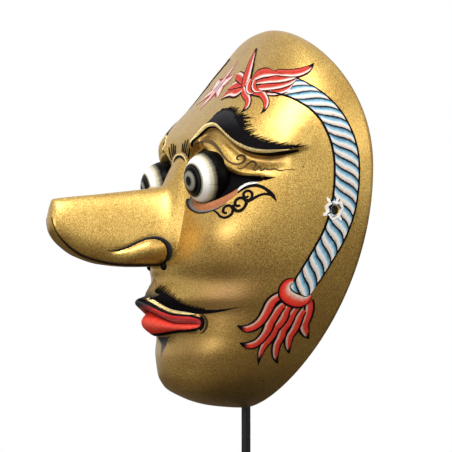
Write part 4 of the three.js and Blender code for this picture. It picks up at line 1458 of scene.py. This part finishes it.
# A dark brown line along the lower edge of each side of the nose is painted shade.
nose_lines.ribbon(
    [(40, 78.2), (46, 77.9), (56, 77.7), (66, 78.1), (76, 79.8), (86, 83), (94, 88), (100.4, 94.4),
     (103.2, 101)],
    (1.2, 0.9, 0.8, 0.8, 0.8, 0.8, 0.5, 0.15), (0.03, 0.018, 0.01), coat=2,
)


def mirror(shape):
    bmesh.ops.scale(shape, verts=shape.verts, vec=(-1, 1, 1))
    bmesh.ops.reverse_faces(shape, faces=shape.faces)


mirrored = nose_lines.piece("left_nose_lines", sheet=nose_sheet).data.copy()
reshape(mirrored, mirror)
on_mask(linked("right_nose_lines", mirrored))

# %% Nostrils
NOSTRIL = {"place": (9.4, -50.6, 76.9), "size": (1.9, 2.4, 2.0)}
for side, label in SIDES:
    bead = bmesh.new()
    bmesh.ops.create_uvsphere(bead, u_segments=28, v_segments=16, radius=1)
    bmesh.ops.scale(bead, verts=bead.verts, vec=NOSTRIL["size"])
    x, y, z = NOSTRIL["place"]
    bmesh.ops.translate(bead, verts=bead.verts, vec=(side * x, y, z + CHIN_Z))
    bmesh.ops.scale(bead, verts=bead.verts, vec=(MM, MM, MM))
    bead_mesh = bpy.data.meshes.new(f"{label}_nostril")
    bead.to_mesh(bead_mesh)
    ink = np.tile(INK + (1,), len(bead_mesh.vertices))
    store(bead_mesh, "pigment", ink, "FLOAT_COLOR", "color")
    nostril = add_piece(f"{label}_nostril", bead_mesh, [brush_paint.material])
    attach(nostril, "mask")
print("nostrils:", NOSTRIL["size"], "mm half sizes")

# %% [markdown]
# ## The stand
# The stand is bought metalwork: black powder coat over steel, a felt sole, rubber where it touches
# the wood, and bare steel screws. Powder coat melts as it cures and keeps a fine orange-peel
# skin, so its bump is soft and round. Felt has crossing fibres and almost no shine.

# %% Stand finishes
powder = Finish("powder_coat", roughness=0.42, Specular_IOR_Level=0.3)
powder.two_tones(powder.noise(160), (0.006, 0.006, 0.007), (0.012, 0.012, 0.013))
powder.rough(powder.grey(powder.noise(260), 0.34, 0.5))
powder.bump(powder.noise(1400, 2), 0.3, 0.00012)

felt = Finish("green_felt", roughness=0.95, Sheen_Weight=0.4)
fibre = felt.stretched((500, 1800, 900))
felt.two_tones(fibre, (0.008, 0.013, 0.010), (0.030, 0.045, 0.036), start=0.35)
felt.bump(fibre, 0.7, 0.0003)

rubber = Finish("black_rubber", roughness=0.7)
rubber.two_tones(rubber.noise(220), (0.016, 0.016, 0.016), (0.032, 0.031, 0.030))
rubber.bump(rubber.noise(1100), 0.35, 0.00015)

screw = Finish("screw_steel", metallic=1.0, roughness=0.32)
turned = screw.stretched((2400, 2400, 300), 3)
screw.two_tones(turned, (0.38, 0.38, 0.39), (0.62, 0.62, 0.63))
screw.rough(screw.grey(turned, 0.25, 0.42))

beech = Finish("dowel_beech", roughness=0.6)
grain = beech.stretched((900, 60, 900))
beech.two_tones(grain, (0.42, 0.26, 0.14), (0.62, 0.44, 0.27))
beech.bump(grain, 0.3, 0.0001)

STAND = (
    (felt, ["base_felt"]),
    (rubber, ["left_arm_sleeve", "right_arm_sleeve", "chin_pad"]),
    (screw, ["socket_screw", "socket_grub_screw", "hub_grub_screw", "collar_grub_screw"]),
    (beech, ["nose_dowel_upper", "nose_dowel_lower"]),
    (powder, ["base_plate", "rod_socket", "upright_rod", "arm_hub", "left_arm", "right_arm",
              "chin_arm_collar", "chin_arm"]),
)
for finish, names in STAND:
    for name in names:
        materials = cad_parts[name].data.materials
        materials.clear()
        materials.append(finish.material)
print("stand finishes on", sum(len(names) for _, names in STAND), "parts")

# %% [markdown]
# ## Clearing up
# The sheets, the single hair and the drill were tools, so they go.

# %% Finish
for tool in (skin_sheet, nose_sheet, hair_shape, drill):
    bpy.data.objects.remove(tool)
